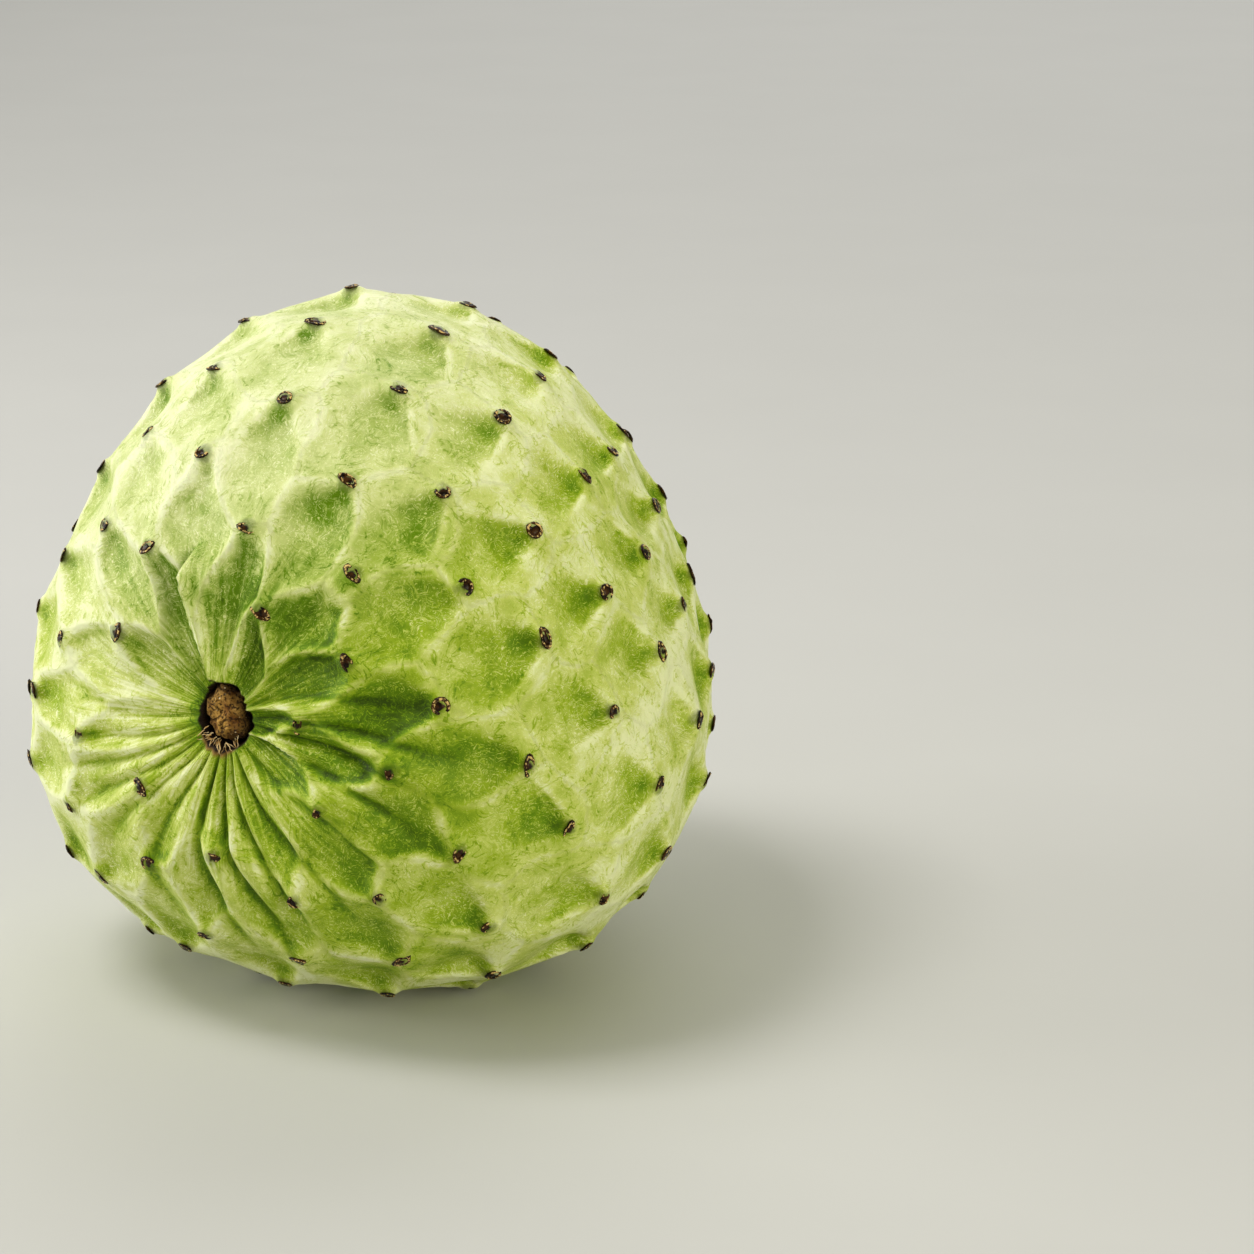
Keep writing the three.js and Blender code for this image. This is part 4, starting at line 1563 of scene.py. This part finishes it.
@dataclass
class DriedTips:
    """The dried style on every carpel tip: small dark craters, and flattened torn slits, in millimetres."""

    skin: Skin
    ring_radius: float = 0.95
    ring_thickness: float = 0.3
    ring_steps: int = 12
    ring_sides: int = 6
    core_radius: float = 0.78
    core_drop: float = 0.1
    core_flatness: float = 0.45
    slit_length: float = 1.3
    slit_width: float = 0.66
    flatness: float = 0.6
    droop: float = 80.0
    torn_share: float = 0.55
    tilt: float = 0.12
    sink: float = 0.14
    lump: float = 0.44
    crater_lump: float = 0.7
    clearance: float = 1.5
    scatter: Scatter = Scatter(0.86, 1.26, 1000.0, 3.0)
    seed: int = 4

    def crater(self, tree: bpy.types.NodeTree, given: Masks) -> bpy.types.Node:
        """Adds the nodes of a ring, with the height of its rim stored for the golden flecks, partly a painted
        highlight on its outer top, round a sunk core.

        Args:
            tree: the node tree.
            given: the tree's inputs.

        Returns:
            The node that joins both.
        """
        inputs = {"Resolution": self.ring_steps, "Radius": given["Ring Radius"]}
        path = node(tree, "GeometryNodeCurvePrimitiveCircle", inputs)
        inputs = {"Resolution": self.ring_sides, "Radius": given["Ring Thickness"]}
        section = node(tree, "GeometryNodeCurvePrimitiveCircle", inputs)
        inputs = {"Curve": path.outputs[0], "Profile Curve": section.outputs[0]}
        ring = node(tree, "GeometryNodeCurveToMesh", inputs)
        spot = node(tree, "GeometryNodeInputPosition")
        level = node(tree, "ShaderNodeSeparateXYZ", {0: spot.outputs[0]}).outputs[2]
        rim = node(tree, "ShaderNodeMath", {0: level, 1: given["Ring Thickness"]}, operation="DIVIDE")
        inputs = {"Geometry": ring.outputs[0], "Name": "rim", "Value": rim.outputs[0]}
        marked_ring = node(tree, "GeometryNodeStoreNamedAttribute", inputs, data_type="FLOAT", domain="POINT")
        core = node(tree, "GeometryNodeMeshIcoSphere", {"Radius": given["Core Radius"], "Subdivisions": 2})
        inputs = {"Translation": given["Core Place"], "Scale": (1, 1, self.core_flatness)}
        flat = node(tree, "GeometryNodeTransform", {"Geometry": core.outputs[0]} | inputs)
        whole = node(tree, "GeometryNodeJoinGeometry")
        tree.links.new(marked_ring.outputs[0], whole.inputs[0])
        tree.links.new(flat.outputs[0], whole.inputs[0])
        return whole

    def tree(self) -> bpy.types.NodeTree:
        """Builds the Geometry Nodes tree: a drooping crater or slit on each point, realised and roughened.

        Returns:
            The node tree.
        """
        tree = bpy.data.node_groups.new("dried tips", "GeometryNodeTree")
        given = sockets(tree, {
            "Ring Radius": "Float",
            "Ring Thickness": "Float",
            "Core Radius": "Float",
            "Core Place": "Vector",
            "Crater Scale": "Vector",
            "Slit Scale": "Vector",
            "Droop": "Float",
            "Lump": "Float",
            "Seed": "Int",
            "Material": "Material",
        })  # fmt: skip
        whole = self.crater(tree, given)
        kinds = node(tree, "GeometryNodeGeometryToInstance")
        for scale in ("Slit Scale", "Crater Scale"):
            inputs = {"Geometry": whole.outputs[0], "Scale": given[scale]}
            shaped = node(tree, "GeometryNodeTransform", inputs)
            spot = node(tree, "GeometryNodeInputPosition")
            part = node(tree, "ShaderNodeSeparateXYZ", {0: spot.outputs[0]}).outputs[0]
            square = node(tree, "ShaderNodeMath", {0: part, 1: part}, operation="MULTIPLY").outputs[0]
            inputs = {0: square, 1: given["Droop"]}
            fall = node(tree, "ShaderNodeMath", inputs, operation="MULTIPLY").outputs[0]
            down = node(tree, "ShaderNodeMath", {0: fall, 1: -1.0}, operation="MULTIPLY").outputs[0]
            offset = node(tree, "ShaderNodeCombineXYZ", {2: down})
            inputs = {"Geometry": shaped.outputs[0], "Offset": offset.outputs[0]}
            tree.links.new(node(tree, "GeometryNodeSetPosition", inputs).outputs[0], kinds.inputs[0])
        torn = node(tree, "GeometryNodeInputNamedAttribute", {"Name": "torn"}, data_type="INT")
        picks = {"Instance": kinds.outputs[0], "Pick Instance": True, "Instance Index": torn.outputs[0]}
        ragged = node(tree, "GeometryNodeInputNamedAttribute", {"Name": "torn"}, data_type="FLOAT")
        inputs = {0: ragged.outputs[0], 1: self.crater_lump}
        more = node(tree, "ShaderNodeMath", inputs, operation="ADD").outputs[0]
        push = node(tree, "ShaderNodeMath", {0: more, 1: given["Lump"]}, operation="MULTIPLY").outputs[0]
        self.scatter.finish(tree, given, picks, push)
        return tree

    def build(self) -> bpy.types.Object:
        """Builds the dried tips, less those round the resting spot.

        Returns:
            The dressed tips, one object.
        """
        skin = self.skin
        points, _ = skin.surface(skin.tip_ways)
        points = points - self.sink * skin.tip_ways
        clear = points[:, 2] > self.clearance
        draw = np.random.default_rng(self.seed)
        leaning = unit(skin.tip_ways + self.tilt * draw.normal(size=skin.tip_ways.shape))
        turns = eulers(skin.tip_across, leaning)
        torn = (draw.random(len(points)) < self.torn_share).astype(np.int32)
        bed = mesh_object("dried_tips", points[clear], np.zeros((0, 3), int), {"turn": turns[clear]})
        kinds = bed.data.attributes.new("torn", "INT", "POINT")
        kinds.data.foreach_set("value", torn[clear])
        tips = grown(bed, self.tree(), {
            "Ring Radius": self.ring_radius * MM,
            "Ring Thickness": self.ring_thickness * MM,
            "Core Radius": self.core_radius * MM,
            "Core Place": (0.0, 0.0, -self.core_drop * MM),
            "Crater Scale": (1.0, 1.0, self.flatness),
            "Slit Scale": (self.slit_length, self.slit_width, self.flatness),
            "Droop": self.droop,
            "Lump": self.lump * MM,
            "Seed": self.seed,
            "Material": DriedStyle().make(),
        })  # fmt: skip
        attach(tips, "root")
        return tips


@dataclass
class StalkStub:
    """The dried stub of the stalk: an oval corky plug, lumpy and cracked. Sizes are in millimetres."""

    skin: Skin
    radius: float = 3.55
    bottom: float = -6.2
    top: float = 0.3
    lift: float = 0.4
    shift: float = 0.3
    squareness: float = 3.2
    frequency: int = 26
    lump: float = 0.38
    fine_lump: float = 0.35
    lump_drop: float = 0.6
    highest_lump: float = 0.1
    lumps: Waves = Waves(3.0, 21)
    fine_lumps: Waves = Waves(0.8, 22)
    cracks: Waves = Waves(4.6, 23)
    crack_width: float = 0.1
    crack_depth: float = 0.25

    def build(self) -> bpy.types.Object:
        """Builds the stub in the scar.

        Returns:
            The dressed stub.
        """
        ways, triangles = geodesic(self.frequency)
        stem, scar = self.skin.stem, self.skin.scar
        blunt = ways / np.sum(np.abs(ways) ** self.squareness, axis=1, keepdims=True) ** (1 / self.squareness)
        half = (self.top - self.bottom) / 2
        local = blunt * np.array([self.radius * scar.oval, self.radius, half])
        cracks = bell(self.cracks.at(local) / self.crack_width)
        lumps = (self.lumps.at(local) - self.lump_drop) * self.lump
        lumps = lumps + self.fine_lumps.at(local) * self.lump * self.fine_lump - self.crack_depth * cracks
        local = local + ways * np.minimum(lumps, self.highest_lump)[:, None]
        local += (self.lift, self.shift, (self.top + self.bottom) / 2 + self.skin.pole)
        # side is 1 round the stub's sides, for the painted shade there deep in the scar
        marks = {"crack": cracks, "side": np.hypot(ways[:, 0], ways[:, 1])}
        stub = mesh_object("stalk_stub", local @ stem.rows + self.skin.middle, triangles, marks)
        stub.data.materials.append(StalkCork().make())
        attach(stub, "root")
        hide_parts("stem_stub")
        return stub


@dataclass
class ScarFibres:
    """Torn fibres that hang from the stub over the gap below it. Sizes are in millimetres."""

    skin: Skin
    count: int = 30
    middle_angle: float = 3.0
    spread: float = 1.0
    start_radius: float = 2.9
    start_spread: float = 1.0
    length: float = 3.0
    bow: float = 0.5
    thickness: float = 0.07
    steps: int = 8
    sides: int = 5
    height: float = -0.1
    height_spread: tuple[float, float] = (-0.4, 0.2)
    aim_spread: float = 0.5
    rise: tuple[float, float] = (-0.35, 0.1)
    kink: float = 0.9
    scatter: Scatter = Scatter(0.35, 1.1, 1100.0, 1.0)
    seed: int = 8

    def tree(self) -> bpy.types.NodeTree:
        """Builds the Geometry Nodes tree: a bowed fibre on each point, realised and kinked.

        Returns:
            The node tree.
        """
        tree = bpy.data.node_groups.new("scar fibres", "GeometryNodeTree")
        given = sockets(tree, {
            "Middle": "Vector",
            "End": "Vector",
            "Thickness": "Float",
            "Kink": "Float",
            "Seed": "Int",
            "Material": "Material",
        })  # fmt: skip
        inputs = {"Start": (0, 0, 0), "Middle": given["Middle"], "End": given["End"]}
        path = node(tree, "GeometryNodeCurveQuadraticBezier", inputs | {"Resolution": self.steps})
        inputs = {"Resolution": self.sides, "Radius": given["Thickness"]}
        section = node(tree, "GeometryNodeCurvePrimitiveCircle", inputs)
        inputs = {"Curve": path.outputs[0], "Profile Curve": section.outputs[0], "Fill Caps": True}
        fibre = node(tree, "GeometryNodeCurveToMesh", inputs)
        self.scatter.finish(tree, given, {"Instance": fibre.outputs[0]}, given["Kink"])
        return tree

    def build(self) -> bpy.types.Object:
        """Builds the fibres.

        Returns:
            The dressed fibres, one object.
        """
        stem, scar = self.skin.stem, self.skin.scar
        draw = np.random.default_rng(self.seed)
        angle = self.middle_angle + self.spread * draw.uniform(-1, 1, self.count)
        reach = self.start_radius + draw.uniform(0, self.start_spread, self.count)
        up, side = reach * scar.oval * np.cos(angle), reach * np.sin(angle)
        height = self.skin.pole + self.height + draw.uniform(*self.height_spread, self.count)
        points = np.stack([up, side, height], -1) @ stem.rows + self.skin.middle
        aim = angle + draw.normal(0, self.aim_spread, self.count)
        rise = draw.uniform(*self.rise, self.count)
        along = unit(np.stack([np.cos(aim), np.sin(aim), rise], -1)) @ stem.rows
        outs = np.repeat(stem.rows[2:], self.count, axis=0)
        outs = unit(outs - np.sum(outs * along, axis=1, keepdims=True) * along)
        bed = mesh_object("scar_fibres", points, np.zeros((0, 3), int), {"turn": eulers(along, outs)})
        fibres = grown(bed, self.tree(), {
            "Middle": (self.length * 0.5 * MM, 0.0, self.bow * MM),
            "End": (self.length * MM, 0.0, 0.0),
            "Thickness": self.thickness * MM,
            "Kink": self.kink * MM,
            "Seed": self.seed,
            "Material": DryFibre().make(),
        })  # fmt: skip
        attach(fibres, "root")
        return fibres


# Stage -----------------------------------------------------------------------------------------


@dataclass(frozen=True)
class Lamp:
    """A soft square light, placed in metres from the fruit's middle and aimed at it."""

    name: str
    place: tuple[float, float, float]
    size: float
    watts: float
    tint: str

    def build(self, middle: Vector) -> None:
        """Adds the light.

        Args:
            middle: the fruit's middle.
        """
        data = bpy.data.lights.new(self.name, "AREA")
        data.size = self.size
        data.energy = self.watts
        data.color = linear(self.tint)[:3]
        lamp = bpy.data.objects.new(self.name, data)
        lamp.location = middle + Vector(self.place)
        lamp.rotation_euler = (-Vector(self.place)).to_track_quat("-Z", "Y").to_euler()
        bpy.context.scene.collection.objects.link(lamp)


@dataclass
class Studio:
    """Plain pale floor, soft lights and the camera. Sizes are in metres but for the lens, in millimetres."""

    middle: Vector
    floor_size: float = 8.0
    elevation: float = 17.0
    lens: float = 100.0
    sensor: float = 36.0
    clip_start: float = 0.01
    distance: float = 0.565
    right: float = 0.0393
    up: float = 0.00445
    lamps: tuple[Lamp, ...] = (
        Lamp("key", (-0.4, -0.1, 0.85), 0.36, 5.2, "FFFCFA"),
        Lamp("fill", (0.8, -0.85, 0.35), 0.8, 7.8, "FFFCDC"),
        Lamp("side", (-0.8, 0.05, 0.12), 0.5, 5.2, "FFFFFA"),
        Lamp("back", (0.3, 1.3, 1.1), 1.6, 13.0, "FFFFFF"),
    )
    surroundings: str = "EAE8DA"
    surroundings_strength: float = 0.4

    def floor(self) -> None:
        """Lays the floor."""
        h = self.floor_size / 2
        corners = np.array([[-h, -h, 0], [h, -h, 0], [h, h, 0], [-h, h, 0]]) / MM
        floor = mesh_object("floor", corners, np.array([[0, 1, 2, 3]]))
        floor.data.materials.append(StudioPaper().make())

    def camera(self) -> None:
        """Sets the camera up, level from side to side and tilted down to the fruit."""
        tilt = math.radians(self.elevation)
        back = Vector((0, -math.cos(tilt), math.sin(tilt)))
        up = Vector((0, math.sin(tilt), math.cos(tilt)))
        data = bpy.data.cameras.new("camera")
        data.lens = self.lens
        data.sensor_width = self.sensor
        data.clip_start = self.clip_start
        camera = bpy.data.objects.new("camera", data)
        camera.location = self.middle + Vector((self.right, 0, 0)) + up * self.up + back * self.distance
        camera.rotation_euler = (math.pi / 2 - tilt, 0, 0)
        bpy.context.scene.collection.objects.link(camera)
        bpy.context.scene.camera = camera

    def build(self) -> None:
        """Builds the whole stage."""
        self.floor()
        self.camera()
        for lamp in self.lamps:
            lamp.build(self.middle)
        world = bpy.data.worlds.new("studio")
        world.use_nodes = True
        sky = world.node_tree.nodes["Background"]
        sky.inputs[0].default_value = linear(self.surroundings)
        sky.inputs[1].default_value = self.surroundings_strength
        bpy.context.scene.world = world
        bpy.context.scene.view_settings.view_transform = "Standard"


def report(piece: bpy.types.Object) -> None:
    """Logs what a piece measures."""
    size = [round(v / MM, 1) for v in piece.dimensions]
    LOG.info("%s: %d faces, %s mm", piece.name, len(piece.data.polygons), size)


def main() -> None:
    """Builds the fruit piece by piece, then the stage."""
    skin = Skin()
    report(Rind(skin).build())
    report(DriedTips(skin).build())
    report(StalkStub(skin).build())
    report(ScarFibres(skin).build())
    Studio(Vector(skin.middle) * MM).build()


if __name__ == "__main__":
    main()
